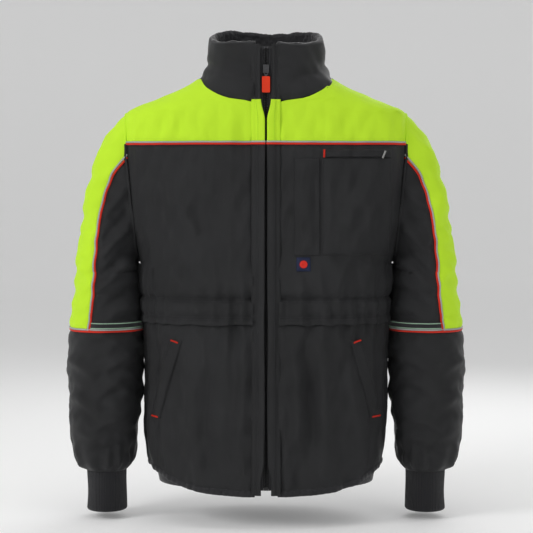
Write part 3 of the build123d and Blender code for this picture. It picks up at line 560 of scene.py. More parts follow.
def join(parts):
    points, faces, off = [], [], 0
    for p, f in parts:
        points.append(p)
        faces += [tuple(i + off for i in face) for face in f]
        off += len(p)
    return np.concatenate(points), faces


def stitches(path, up, pitch=4.2, length=2.9, radius=0.38):
    """A row of single stitches along a path on the cloth."""
    run = np.concatenate([[0], np.cumsum(np.linalg.norm(np.diff(path, axis=0), axis=1))])
    parts = []
    for s in np.arange(pitch / 2, run[-1] - length, pitch):
        at = np.array([s, s + length * 0.5, s + length])
        pts = np.stack([np.interp(at, run, path[:, k]) for k in range(3)], -1)
        n = np.stack([np.interp(at, run, up[:, k]) for k in range(3)], -1)
        pts = pts + n * np.array([[-0.25], [0.25], [-0.25]])
        parts.append(tube(pts, radius, 5, up=n))
    return parts


def body_path(angle, z, lift):
    angle, z = np.broadcast_arrays(np.asarray(angle, float), np.asarray(z, float))
    return body_form(angle, z, lift), normals(body_base, angle, z, 2e-3, 0.8)


# ------------------------------------------------------------ body panels
THICK = 3.0


FRONT_NECK = [(NECK_FRONT, 0), (NECK_FRONT + 7, 65), (NECK_FRONT + 18, 93),
              (NECK_FRONT + 31, 111), (BODY_LENGTH + 3, 121)]
REAR_NECK = [(BODY_LENGTH + 3, 121), (NECK_BACK - 4, 92), (NECK_BACK, 0)]


def neck_height(x, y, middle):
    """Height of the neckline above a point of the body's plan."""
    x = np.abs(x)
    front = smooth([(r[1], r[0]) for r in FRONT_NECK], x)
    rear = smooth([(r[1], r[0]) for r in REAR_NECK[::-1]], x)
    return np.where(y < middle, front, rear)


def angle_at_neck(z):
    """Where the neckline crosses a height, as an angle on the wearer's left; -90 below it."""
    front = front_angle(smooth(FRONT_NECK, z), z)
    rear = -front_angle(smooth(REAR_NECK, z), z)
    found = np.where(z < BODY_LENGTH + 3, front, rear)
    return np.where(z <= NECK_FRONT, -PI / 2, np.where(z >= NECK_BACK - 0.2, PI / 2, found))


def rows(low, high, step=3.6):
    return np.linspace(low, high, max(int((high - low) / step), 2) + 1)


HEM_SWEEP, HEM_CORNER = 14.0, 26.0


def hem_z(x):
    """Height of the hem, which rises gently and then faster to the side."""
    share = np.clip(np.abs(x) / (HEM_WIDTH / 2), 0, 1.02)
    return HEM_SWEEP * share ** 2 + HEM_CORNER * share ** 5


def panel(name, low, high, start, end, count, mat, nodes, hem=False):
    z = rows(low, high)
    a0, a1 = start(z), end(z)
    angle = even(a0, a1, z, count)
    height = np.broadcast_to(z, angle.shape).copy()
    if hem:
        x = body_base(angle, height)[..., 0]
        base = hem_z(x) + BINDING - 2
        share = (height - low) / (high - low)
        height = base + (high - base) * share
    outer = body_form(angle, height)
    inner = body_form(angle, height, -THICK)
    points, faces = shell(outer, inner)
    return add_mesh(name, points, faces, mat, nodes=nodes)


def left_start(z):
    return np.maximum(front_angle(LIP_OUT - 1.5, z), np.where(z > NECK_FRONT, angle_at_neck(z), -9))


def left_end(z):
    return -armhole_angle(z)


def right_start(z):
    return PI + armhole_angle(z)


def right_end(z):
    return PI - left_start(z)


def back_start(z):
    return np.maximum(armhole_angle(z), np.where(z > BODY_LENGTH, angle_at_neck(z), -9))


def back_end(z):
    return PI - back_start(z)


NECK_SIDE = BODY_LENGTH + 3
for side, start, end in (("left", left_start, left_end), ("right", right_start, right_end)):
    panel("shell_yoke_front_" + side, YOKE, NECK_SIDE, start, end, 84, LIME,
          ["yoke_front_" + side])
    panel("shell_front_upper_" + side, WAIST, YOKE, start, end, 84, DARK,
          ["front_upper_" + side, "wadding_front_" + side])
    panel("shell_front_lower_" + side, BINDING, WAIST, start, end, 84, DARK,
          ["front_lower_" + side], hem=True)
panel("shell_yoke_back", YOKE, NECK_BACK - 0.5, back_start, back_end, 170, LIME,
      ["yoke_back"])
panel("shell_back_upper", WAIST, YOKE, back_start, back_end, 170, DARK,
      ["back_upper", "wadding_back"])
panel("shell_back_lower", BINDING, WAIST, back_start, back_end, 170, DARK,
      ["back_lower"], hem=True)

# body lining: one bag of cloth behind the wadding
LINING_OUT, LINING_IN = 10.0, 11.0
z = rows(BINDING + 2, NECK_BACK - 1, 7)
left = even(np.maximum(front_angle(31, z), np.where(z > NECK_FRONT, angle_at_neck(z), -9)),
            np.zeros_like(z), z, 40)
parts = []
side_end = np.where(z > BODY_LENGTH, np.maximum(angle_at_neck(z), 0), 0.0)
for grid in (left, PI - left[::-1], even(side_end, PI - side_end, z, 80)):
    height = np.broadcast_to(z, grid.shape)
    parts.append(shell(body_base(grid, height, LINING_OUT), body_base(grid, height, LINING_IN)))
for k, (points, faces) in enumerate(parts):
    x = np.abs(points[:, 0])
    limit = armhole_x(points[:, 2]) - 1.0
    over = (x > limit) & (points[:, 2] > UNDERARM)
    points[over, 0] = np.sign(points[over, 0]) * limit[over]
    panel_k = add_mesh("lining_panel_%d" % k, points, faces, LINING,
                       nodes=[["lining_front"], [], ["lining_back"]][k])

# ------------------------------------------------------------ collar
COLLAR_A = 240


def collar_heights(angle, which):
    """Height where the neckline or the collar's edge crosses each angle."""
    low = np.full_like(angle, 640.0)
    high = np.full_like(angle, 900.0)
    for _ in range(40):
        mid = (low + high) / 2
        at = body_base(angle, mid)
        y = at[..., 1]
        if which == "base":
            target = neck_height(at[..., 0], y, section(mid)[1])
        else:
            share = (y - front_y(TOP_FRONT)) / (NECK_Y - front_y(TOP_FRONT))
            target = TOP_FRONT + (TOP_BACK - TOP_FRONT) * share
            target = target + 3.0 * np.sin(3 * angle + 0.6) - 3.5 * np.exp(-((angle - PI / 2) / 0.5) ** 2)
        low = np.where(mid < target, mid, low)
        high = np.where(mid < target, high, mid)
    return (low + high) / 2


a_start = float(front_angle(LIP_OUT - 3, NECK_FRONT + 50))
dense = body_base(np.linspace(a_start, PI - a_start, 4000), np.full(4000, BODY_LENGTH + 20))
run = np.concatenate([[0], np.cumsum(np.linalg.norm(np.diff(dense, axis=0), axis=1))])
angles = np.interp(np.linspace(0, run[-1], COLLAR_A + 1), run,
                   np.linspace(a_start, PI - a_start, 4000))
z_low = collar_heights(angles, "base") - 2.0
z_top = collar_heights(angles, "top")
ROLL = 5.0


def collar_point(k, v):
    """v from 0 to 1 up the outside, to 2 over the edge, then down the inside to 3."""
    a, zl, zt = angles[k], z_low[k], z_top[k]
    up = np.clip(v, 0, 1)
    over = np.clip(v - 1, 0, 1) * PI
    down = np.clip(v - 2, 0, 1)
    z = zl + (zt - ROLL - zl) * up + ROLL * np.sin(over) - (zt - ROLL - zl - 2) * down
    inset = ROLL * (1 - np.cos(over))
    near = np.clip(1 - np.minimum(k, COLLAR_A - k) / 34.0, 0, 1) ** 1.5
    shift = (front_angle(LIP_OUT - 3, z) - a_start) * near
    return a + np.where(k < COLLAR_A / 2, shift, -shift), z, inset


def collar_grid(v):
    k = np.repeat(np.arange(COLLAR_A + 1)[:, None], len(v), 1)
    a, z, inset = collar_point(k, np.broadcast_to(v, k.shape))
    base = body_base(a, z, inset)
    n = normals(body_base, a, np.maximum(z, BODY_LENGTH + 12), 2e-3, 0.8)
    return base, n, a, z


v = np.concatenate([np.linspace(0, 1, 30), np.linspace(1.1, 1.5, 4)])
base, n, a, z = collar_grid(v)
crease = z - (z_low[:, None] + (0.36 + 0.05 * np.sin(a * 2)) * (z_top - z_low)[:, None])
side = np.abs(np.cos(a)) ** 1.5
disp = (dip(crease, 6, 3.2) * side + 2.4 * np.exp(-((crease + 13) / 10) ** 2) * side
        + 1.4 * waves(base, 60, 21) + 0.5 * waves(base, 24, 22)
        + dip(v[None, :] * (z_top - z_low)[:, None] - 2, 6, 2.0))
fade = np.clip((1.5 - v) / 0.4, 0, 1)[None, :]
outer = base + n * (disp * fade)[..., None]
inner = outer - n * (2.2 * np.ones_like(fade))[..., None] + np.array([0, 0, -0.6])
points, faces = shell(outer, inner)
add_mesh("shell_collar", points, faces, DARK,
         nodes=["collar_outer", "collar_wadding"])

v = np.concatenate([np.linspace(1.4, 2.0, 8), np.linspace(2.02, 3, 34)])
base, n, a, z = collar_grid(v)
curl_count = 5200
pick = RNG.integers(0, base.shape[0], curl_count), RNG.integers(0, base.shape[1], curl_count)
tree = kdtree.KDTree(curl_count)
for i, p in enumerate(base[pick] + RNG.normal(size=(curl_count, 3)) * 1.5):
    tree.insert(Vector(p), i)
tree.balance()
flat = base.reshape(-1, 3)
near = np.array([tree.find(Vector(p))[2] for p in flat]).reshape(base.shape[:2])
curl = 2.4 * np.clip(1 - (near / 3.4) ** 2, 0, 1)
edge = np.clip((v - 1.4) / 0.3, 0, 1)[None, :]
way = np.where((v < 2)[None, :, None], np.array([0, 0, 1.0]), -n)
outer = base + way * (curl * edge + 0.8 * waves(base, 30, 23))[..., None]
inner = base - way * 2.0
points, faces = shell(inner, outer)
add_mesh("fleece_collar", points, faces, FLEECE, nodes=["collar_fleece"])

# ------------------------------------------------------------ zip lips, tapes and teeth
SLOPE = math.atan2(FRONT_LEAN, TOP_FRONT)
OUTWARD = np.array([0, -math.cos(SLOPE), math.sin(SLOPE)])


def zip_point(x, z, w):
    """x across, z up, w out from the zip line."""
    x, z, w = np.broadcast_arrays(*(np.asarray(q, float) for q in (x, z, w)))
    base = np.stack([x, front_y(z), z], -1)
    return base + w[..., None] * OUTWARD


def lip_edge(z):
    edge = smooth([(0, 8.8), (26, 8.8), (62, 2.4), (330, 2.6), (560, 1.9), (676, 1.8),
                   (712, 8.6), (760, 9.6), (900, 9.6)], z)
    return edge + 0.5 * np.sin(np.asarray(z) / 37) * (np.asarray(z) < 640)


LIP_ACROSS = [(0.0, 0.8, -0.6), (0.06, 0.1, 0.9), (0.16, 0.4, 2.2), (0.3, 2.2, 2.9),
              (0.55, 8.0, 2.2), (0.8, 14.0, 0.6), (1.0, 22.0, -2.2)]
def lip_grid(z, sign):
    u = np.linspace(0, 1, 22)
    dx = smooth([(r[0], r[1]) for r in LIP_ACROSS], u)[:, None]
    lift = smooth([(r[0], r[2]) for r in LIP_ACROSS], u)[:, None]
    open_top = smooth([(0, 1), (26, 1), (62, 0), (680, 0), (715, 1), (900, 1)], z)[None, :]
    edge = lip_edge(z)[None, :]
    x = edge + dx * (LIP_OUT + 2.0 - edge) / 22.0
    skin = body_base(front_angle(x, z[None, :] * np.ones_like(x)), z[None, :] * np.ones_like(x))
    proud = (lift + 2.4) * (1 - 0.45 * open_top) - 1.4 * open_top * (u[:, None] < 0.2)
    wobble = 0.8 * np.sin(z / 47 + sign)[None, :] + 0.4 * np.sin(z / 19 + 2 * sign)[None, :]
    seam_dip = dip(x - LIP_OUT + 5, 2.2, 1.1)
    outer = skin + OUTWARD * (proud + seam_dip + wobble * (u[:, None] > 0.25))[..., None]
    inner = outer - OUTWARD * 1.3 + np.array([0.5, 0, 0])
    end = np.clip((z - (TOP_FRONT - 14)) / 14, 0, 1)[None, :] ** 2
    outer[..., 0] += 3.0 * end * (1 - u[:, None])
    return outer, inner


LIP_PARTS = [("low", 3.0, YOKE, DARK, "dark_cloth"), ("yoke", YOKE, NECK_FRONT + 5, LIME, "bright_cloth"),
             ("collar", NECK_FRONT + 5, TOP_FRONT - 1.5, DARK, "dark_cloth")]
for side, sign in (("left", 1), ("right", -1)):
    for part, low, high, mat, slot in LIP_PARTS:
        z = rows(low, high, 3.2)
        outer, inner = lip_grid(z, sign)
        points, faces = shell(outer, inner)
        if sign < 0:
            points, faces = mirror(points, faces)
        add_mesh("lip_%s_%s" % (part, side), points, faces, mat,
                 nodes=["placket_lips"] if (sign, part) == (1, "low") else [])
        path = outer[15] + OUTWARD * 0.2
        points, faces = join(stitches(path, np.tile(OUTWARD, (len(path), 1))))
        if sign < 0:
            points, faces = mirror(points, faces)
        add_mesh("lip_stitches_%s_%s" % (part, side), points, faces,
                 LIMETHREAD if mat is LIME else THREAD)
    z = rows(BINDING + 2, TOP_FRONT - 6, 8)
    x = np.linspace(4.3, 15, 6)[:, None]
    outer = zip_point(x, z[None, :], -2.2)
    inner = zip_point(x, z[None, :], -3.0)
    points, faces = shell(outer, inner)
    if sign < 0:
        points, faces = mirror(points, faces)
    add_mesh("tape_" + side, points, faces, TAPE, nodes=["zip_tapes"] if sign > 0 else [])
    teeth = []
    for k, zz in enumerate(np.arange(19.0, TOP_FRONT - 10, 2.9)):
        z0 = zz + (1.45 if sign < 0 else 0)
        box = []
        for w in (-1.5, -3.7):
            for xx, half in ((0.85, 0.62), (2.2, 0.85), (4.4, 0.7)):
                box += [zip_point(xx, z0 - half, w), zip_point(xx, z0 + half, w)]
        teeth.append((np.array(box), [(0, 2, 3, 1), (2, 4, 5, 3), (6, 7, 9, 8), (8, 9, 11, 10),
                                      (0, 1, 7, 6), (4, 10, 11, 5), (0, 6, 8, 2), (2, 8, 10, 4),
                                      (1, 3, 9, 7), (3, 5, 11, 9)]))
    points, faces = join(teeth)
    if sign < 0:
        points, faces = mirror(points, faces)
    add_mesh("teeth_" + side, points, faces, TOOTH,
             nodes=["zip_coils"] if sign > 0 else [])

z = rows(BINDING + 5, TOP_FRONT - 4, 6)
x = np.linspace(-21, 29, 14)[:, None]
lift = -6.4 + 0.25 * np.sin(z / 33)[None, :] + 0 * x
outer = zip_point(x, z[None, :], lift)
inner = zip_point(x, z[None, :], lift - 1.3)
points, faces = shell(outer, inner)
storm = add_mesh("wind_flap", points, faces, DARK, nodes=["storm_flap"])

# ------------------------------------------------------------ sleeves
SLEEVE_ROWS_STOP = np.concatenate([np.linspace(-1, -0.88, 10), np.linspace(-0.86, -0.02, 42),
                                   np.linspace(0, 1, 100)])


def sleeve_cuts(kind, stop):
    """The start and end angle of a sleeve panel at each stop."""
    s = seam(np.minimum(stop, BAND_STOP))
    if kind == "outer":
        return -s, s
    if kind == "inner":
        return s, 2 * PI - s
    return -PI, PI


def sleeve_panel(kind, stops, count, mat, nodes, side, lift=0.0, closed=False):
    sign = 1 if side == "left" else -1
    a0, a1 = sleeve_cuts(kind, stops)
    a0, a1 = np.broadcast_to(a0, stops.shape), np.broadcast_to(a1, stops.shape)
    t = np.linspace(0, 1, count + 1)[:, None]
    angle = a0 + (a1 - a0) * t
    if closed:
        angle = angle[:-1]
    stop = np.broadcast_to(stops, angle.shape)
    outer = sleeve_form(angle, stop, lift)
    inner = sleeve_form(angle, stop, lift - THICK)
    points, faces = shell(outer, inner, closed)
    if sign < 0:
        points, faces = mirror(points, faces)
    return add_mesh("shell_%s_%s" % (kind, side), points, faces, mat,
                    body="sleeve_" + side, nodes=nodes)


for side in ("left", "right"):
    upper = SLEEVE_ROWS_STOP[SLEEVE_ROWS_STOP < BAND_STOP - 0.002]
    upper = np.append(upper, BAND_STOP)
    lower = np.append([BAND_STOP], SLEEVE_ROWS_STOP[SLEEVE_ROWS_STOP > BAND_STOP + 0.002])
    sleeve_panel("outer", upper, 60, LIME,
                 ["sleeve_outer_" + side, "wadding_sleeve_outer_" + side], side)
    sleeve_panel("inner", upper, 90, DARK,
                 ["sleeve_inner_" + side, "wadding_sleeve_inner_" + side], side)
    sleeve_panel("forearm", lower, 150, DARK,
                 ["forearm_" + side, "wadding_forearm_" + side], side, closed=True)
    stop = np.linspace(-0.96, 0.995, 110)
    ring = np.linspace(-PI, PI, 97)[:-1][:, None]
    base = sleeve_base(ring, stop[None, :])
    n = normals(sleeve_base, ring + 0 * stop[None, :], stop[None, :] + 0 * ring, 3e-3, 3e-3)
    wrinkle = 0.6 * waves(base, 40, 31)[..., None]
    points, faces = shell(base + n * (wrinkle - 9.5), base + n * (wrinkle - 10.5), closed=True)
    if side == "right":
        points, faces = mirror(points, faces)
    tube_lining = add_mesh("lining_tube_" + side, points, faces, LINING,
                           body="sleeve_" + side, nodes=["lining_sleeve_" + side])


# ------------------------------------------------------------ cords, bands and stitching
def cord_on_body(name, angle, z, radius, lift, mat, nodes=()):
    path, up = body_path(angle, z, lift)
    points, faces = tube(path, radius, 8, up=up)
    return add_mesh(name, points, faces, mat, nodes=nodes)


def front_run(z, x_in=2.2, step=4.0):
    """Angles along one height from the zip to the armhole seam, on the wearer's left."""
    start = float(front_angle(x_in, z))
    end = -float(armhole_angle(z))
    dense = np.linspace(start, end, 1500)
    run = np.concatenate([[0], np.cumsum(np.linalg.norm(
        np.diff(body_base(dense, np.full(1500, z)), axis=0), axis=1))])
    return np.interp(np.linspace(0, run[-1], max(int(run[-1] / step), 4)), run, dense)


PIPING_Z = [("red", YOKE - 0.4, 1.9, 1.0, RED, "red_cord"),
            ("silver", YOKE + 3.0, 1.7, 0.9, SILVER, "reflective_cord")]
for kind, z, radius, lift, mat, slot in PIPING_Z:
    left = front_run(z, LIP_OUT + 4)
    lip = lip_grid(np.array([z]), 1)[0][3:, 0]
    path, up = body_path(left, z, lift)
    lip = lip[lip[:, 0] < LIP_OUT + 3] + OUTWARD * (lift + 0.5)
    lip[:, 2] = z
    lip = np.concatenate([lip, path])
    up = np.concatenate([np.tile(OUTWARD, (len(lip) - len(path), 1)), up])
    lip = np.stack([np.convolve(np.pad(lip[:, k], 1, mode="edge"), [0.25, 0.5, 0.25], "valid")
                    for k in range(3)], -1)
    points, faces = tube(lip, radius, 8, up=up)
    add_mesh("yoke_cord_%s_left" % kind, points, faces, mat, nodes=["yoke_piping_" + kind])
    path, up = body_path(PI - left, z, lift)
    right = np.concatenate([lip[:len(lip) - len(path)] * np.array([-1, 1, 1]), path])
    points, faces = tube(right, radius, 8, up=np.concatenate([
        np.tile(OUTWARD, (len(right) - len(path), 1)), up]))
    add_mesh("yoke_cord_%s_right" % kind, points, faces, mat)
    a = float(armhole_angle(z))
    angle = np.linspace(a, PI - a, 140)
    cord_on_body("yoke_cord_%s_back" % kind, angle, np.full(140, z), radius, lift, mat)


def sleeve_path(angle, stop, lift):
    angle, stop = np.broadcast_arrays(np.asarray(angle, float), np.asarray(stop, float))
    return sleeve_form(angle, stop, lift), normals(sleeve_base, angle, stop, 3e-3, 3e-3)


RIM = float(np.arccos(np.clip((YOKE - (RING_LOW + RING_HIGH) / 2) / ((RING_HIGH - RING_LOW) / 2), -1, 1)))
SEAM_STOPS = np.concatenate([np.linspace(-0.998, 0, 66), np.linspace(0.01, BAND_STOP, 40)])
for side in ("left", "right"):
    def place_cord(name, path, up, radius, mat, nodes=(), closed=False):
        points, faces = tube(path, radius, 8, closed=closed, up=up)
        if side == "right":
            points, faces = mirror(points, faces)
        return add_mesh(name, points, faces, mat, body="sleeve_" + side, nodes=nodes)

    for kind, gap, radius, mat, slot in (("red", 0.0, 1.9, RED, "red_cord"),
                                         ("silver", -0.048, 1.8, SILVER, "reflective_cord")):
        for way, sign in (("front", 1), ("back", -1)):
            angle = sign * (seam(SEAM_STOPS) + gap)
            path, up = sleeve_path(angle, SEAM_STOPS, 0.8)
            place_cord("seam_%s_%s_%s" % (kind, way, side), path, up, radius, mat,
                       ["sleeve_piping_%s_%s" % (kind, side)] if sign > 0 else [])
        ring = np.linspace(-PI, PI, 200)[:-1]
        at = BAND_STOP + (0.0 if kind == "red" else -0.0095)
        path, up = sleeve_path(ring, np.full(199, at), 0.9)
        place_cord("band_%s_%s" % (kind, side), path, up, radius, mat, closed=True)
    for name, start, end, mat, slot in (("top", -RIM, RIM, LIME, "bright_cloth"),
                                        ("under", RIM, 2 * PI - RIM, DARK, "dark_cloth")):
        ring = np.linspace(start, end, 160)
        path, up = sleeve_path(ring, np.full(160, -0.997), -0.9)
        place_cord("armhole_seam_%s_%s" % (name, side), path, up, 3.0, mat)
    # the dark strip above the band, with its two pale lines
    stop = np.linspace(BAND_STOP - 0.048, BAND_STOP - 0.011, 6)
    edge = float(seam(BAND_STOP))
    angle = np.linspace(edge + 0.03, 2 * PI - edge - 0.03, 120)[:, None] * np.ones(6)
    outer = sleeve_form(angle, stop[None, :] * np.ones((120, 1)), 1.5)
    inner = sleeve_form(angle, stop[None, :] * np.ones((120, 1)), -0.5)
    points, faces = shell(outer, inner)
    if side == "right":
        points, faces = mirror(points, faces)
    add_mesh("band_strip_" + side, points, faces, TAPE, body="sleeve_" + side,
             nodes=["sleeve_band_" + side])
    for k, at in enumerate((BAND_STOP - 0.041, BAND_STOP - 0.017)):
        path, up = sleeve_path(angle[:, 0], np.full(120, at), 1.6)
        place_cord("band_line_%d_%s" % (k, side), path, up, 0.85, PALE)

# ------------------------------------------------------------ pockets, welts, badge and flap
def overlay(name, x0, x1, z0, z1, mat, nodes=(), high=1.3, side=1, under=0.8, nx=None):
    """A patch of cloth sewn on the front; x0 and x1 may change with height."""
    z = rows(z0, z1, 3.0)[None, :]
    left = (x0(z) if callable(x0) else x0 + 0 * z)
    right = (x1(z) if callable(x1) else x1 + 0 * z)
    nx = nx or max(int(np.max(right - left) / 3.2), 6)
    s = np.linspace(0, 1, nx + 1)[:, None]
    if side < 0:
        s = s[::-1]
    x = left + (right - left) * s
    z = z + 0 * x
    edge = np.minimum(np.minimum(x - left, right - x), np.minimum(z - z0, z1 - z))
    lift = 0.25 + high * (1 - np.exp(-edge / 0.9)) + dip(edge - 5.5, 1.6, 0.55)
    angle = front_angle(x, z)
    angle = angle if side > 0 else PI - angle
    points, faces = shell(body_form(angle, z, lift + under * 0.5), body_form(angle, z, -under))
    return add_mesh(name, points, faces, mat, nodes=nodes)


def stitch_line(points_xz, lift, side=1, pitch=4.2, length=2.9):
    """Stitches along a line on the front given by its corners."""
    pts = np.array(points_xz, float)
    run = np.concatenate([[0], np.cumsum(np.hypot(*np.diff(pts, axis=0).T))])
    at = np.arange(0, run[-1], 2.0)
    x, z = np.interp(at, run, pts[:, 0]), np.interp(at, run, pts[:, 1])
    angle = front_angle(x, z)
    path, up = body_path(angle if side > 0 else PI - angle, z, lift)
    return stitches(path, up, pitch, length)


POCKET_IN, PEN_OUT, POCKET_OUT = 50.4, 100.8, 225.6
POCKET_LOW, POCKET_TOP, WELT = YOKE - 202.0, YOKE - 26.0, 16.0


def pocket_edge(z):
    return np.minimum(POCKET_OUT, armhole_x(z) - 9.0)


overlay("pen_pocket_cloth", POCKET_IN, PEN_OUT - 3, POCKET_LOW, POCKET_TOP, DARK,
        ["pen_pocket"])
overlay("chest_pocket_cloth", PEN_OUT, pocket_edge, POCKET_LOW, POCKET_TOP, DARK,
        ["chest_pocket"], high=1.8)
overlay("chest_welt_cloth", PEN_OUT, pocket_edge, POCKET_TOP + 0.6, POCKET_TOP + WELT, DARK,
        ["chest_pocket_welt"], high=2.4)
lines = stitch_line([(PEN_OUT + 3, POCKET_TOP + WELT - 3), (216, POCKET_TOP + WELT - 3)], 3.0)
lines += stitch_line([(PEN_OUT + 3, POCKET_TOP + 4), (216, POCKET_TOP + 4)], 3.0)
lines += stitch_line([(POCKET_IN + 3, POCKET_TOP - 3), (PEN_OUT - 6, POCKET_TOP - 3)], 1.8)
lines += stitch_line([(POCKET_IN + 2.5, POCKET_TOP - 3), (POCKET_IN + 2.5, POCKET_LOW + 2.5),
                      (PEN_OUT - 5.5, POCKET_LOW + 2.5), (PEN_OUT - 5.5, POCKET_TOP - 3)], 1.8)
lines += stitch_line([(PEN_OUT + 2.5, POCKET_TOP - 3), (PEN_OUT + 2.5, POCKET_LOW + 2.5),
                      (POCKET_OUT - 4, POCKET_LOW + 2.5), (POCKET_OUT - 4, UNDERARM + 95)], 2.3)
points, faces = join(lines)
add_mesh("pocket_stitches", points, faces, THREAD)

HAND_HIGH, HAND_LOW, HAND_WELT = (172.8, 280.0), (211.2, 135.0), 22.0


def hand_edge(z):
    return HAND_LOW[0] + (HAND_HIGH[0] - HAND_LOW[0]) * (z - HAND_LOW[1]) / (HAND_HIGH[1] - HAND_LOW[1])


def tack_at(x, z, turn, lift, side=1, length=14.0, radius=1.15, pitch=0.9):
    """A close row of thread bars over a pocket's end."""
    parts = []
    c, k = math.cos(math.radians(turn)), math.sin(math.radians(turn))
    for at in np.arange(-length / 2, length / 2, pitch):
        ends = []
        for across in (-1.5, 0.0, 1.5):
            px, pz = x + at * c - across * k, z + at * k + across * c
            angle = float(front_angle(px, pz))
            angle = angle if side > 0 else PI - angle
            high = lift + (0.55 if across == 0 else -0.2)
            ends.append(body_form(np.array([angle]), np.array([pz]), high)[0])
        parts.append(tube(np.array(ends), 0.52, 5))
    return parts


tacks, welt_lines = [], []
for side in (1, -1):
    name = "left" if side > 0 else "right"
    overlay("hand_welt_" + name, lambda z: hand_edge(z) - HAND_WELT, hand_edge, HAND_LOW[1],
            HAND_HIGH[1], DARK, ["hand_pocket_welts"] if side > 0 else (), high=2.4,
            side=side)
    for inset in (2.5, HAND_WELT - 2.5):
        welt_lines += stitch_line([(hand_edge(z) - inset, z) for z in (HAND_LOW[1] + 3, HAND_HIGH[1] - 3)],
                                  3.0, side)
    tacks += tack_at(HAND_HIGH[0] - HAND_WELT / 2 + 3, HAND_HIGH[1] - 3, 18, 3.2, side)
    tacks += tack_at(HAND_LOW[0] - HAND_WELT / 2, HAND_LOW[1] + 3, 4, 3.2, side)
points, faces = join(welt_lines)
add_mesh("hand_welt_stitches", points, faces, THREAD)
tacks += tack_at(PEN_OUT + 4, POCKET_TOP + WELT / 2, 88, 3.4)
points, faces = join(tacks)
add_mesh("red_bar_tacks", points, faces, RED, nodes=["bar_tacks"])
points, faces = join(tack_at(212, POCKET_TOP + 6, 70, 3.4))
add_mesh("grey_bar_tack", points, faces, SILVER)

BADGE, BADGE_X = 25.0, 67.2
BADGE_Z = POCKET_LOW - BADGE / 2 - 3
overlay("badge_cloth", BADGE_X - BADGE / 2, BADGE_X + BADGE / 2, BADGE_Z - BADGE / 2,
        BADGE_Z + BADGE / 2, NAVY, ["badge_patch"], high=1.0, nx=10)
centre = float(front_angle(BADGE_X, BADGE_Z))
ring_t = np.linspace(0, 2 * PI, 41)[:-1]
radius = np.linspace(0.4, 7.0, 9)
px = BADGE_X + radius[None, :] * np.cos(ring_t)[:, None]
pz = BADGE_Z + radius[None, :] * np.sin(ring_t)[:, None]
dome = 2.2 + 1.0 * np.sqrt(np.clip(1 - (radius / 7.05) ** 4, 0, 1))[None, :] + 0 * px
angle = front_angle(px, pz)
points, faces = shell(body_form(angle, pz, dome), body_form(angle, pz, 0.6 + 0 * px), closed=True)
faces.append(tuple(k * len(radius) for k in range(40)))
faces.append(tuple(40 * len(radius) + k * len(radius) for k in range(40))[::-1])
add_mesh("badge_button", points, [tuple(f[::-1]) for f in faces], BADGE_RED,
         nodes=["badge_disc"])

# the flap over the waist casing, and its two rows of stitching
z = rows(WAIST - 2, CASING + 1, 2.6)
half = even(front_angle(LIP_OUT - 1, z), -0.0 * z, z, 110)
back = even(0.0 * z, PI + 0.0 * z, z, 220)
angle = np.concatenate([half[:-1], back[:-1], (PI - half)[::-1]])
height = z[None, :] + 0 * angle
down = (CASING + 1 - height) / (CASING - WAIST)
height = height + 1.1 * down * np.sin(angle * 24 + 2 * np.sin(angle * 5))
ripple = np.sin(angle * 31 + 1.3 * np.sin(angle * 9))
lift = 0.3 + 2.6 * np.clip(down / 0.2, 0, 1) + 1.2 * down + 0.9 * down * ripple
points, faces = shell(body_form(angle, height, lift), body_form(angle, height, lift - 1.3))
add_mesh("waist_flap_cloth", points, faces, DARK, nodes=["waist_flap"])
lines = []
for level, high in ((CASING - 4, 2.0), (WAIST + 13, 4.1), (WAIST + 8, 4.3)):
    for part in (half[:, 0], back[:, 0], (PI - half[:, 0])[::-1]):
        fine = np.interp(np.linspace(0, 1, 420), np.linspace(0, 1, len(part)), part)
        down = (CASING + 1 - level) / (CASING - WAIST)
        wave = 0.9 * down * np.sin(fine * 31 + 1.3 * np.sin(fine * 9))
        path, up = body_path(fine, np.full(420, level), high + wave)
        lines += stitches(path, up)
points, faces = join(lines)
add_mesh("waist_stitches", points, faces, THREAD)

# ------------------------------------------------------------ hem, cuffs, loop and hardware
angle = even(np.array([float(front_angle(LIP_OUT - 3, 5))]), np.array([0.0]), np.array([5.0]), 150)[:, 0]
rear = even(np.array([0.0]), np.array([PI]), np.array([5.0]), 320)[:, 0]
angle = np.concatenate([angle[:-1], rear[:-1], (PI - angle)[::-1]])
x = body_base(angle, np.full(len(angle), 5.0))[:, 0]
path, up = body_path(angle, hem_z(x) + 5.5, -0.8)
pull = 0.5 * np.sin(np.linspace(0, 190 * PI, len(path)))[:, None]
points, faces = tube(path + up * pull, 6.2, 14, flat=0.46, up=up)
add_mesh("hem_tape", points, faces, TAPE, nodes=["hem_binding"])

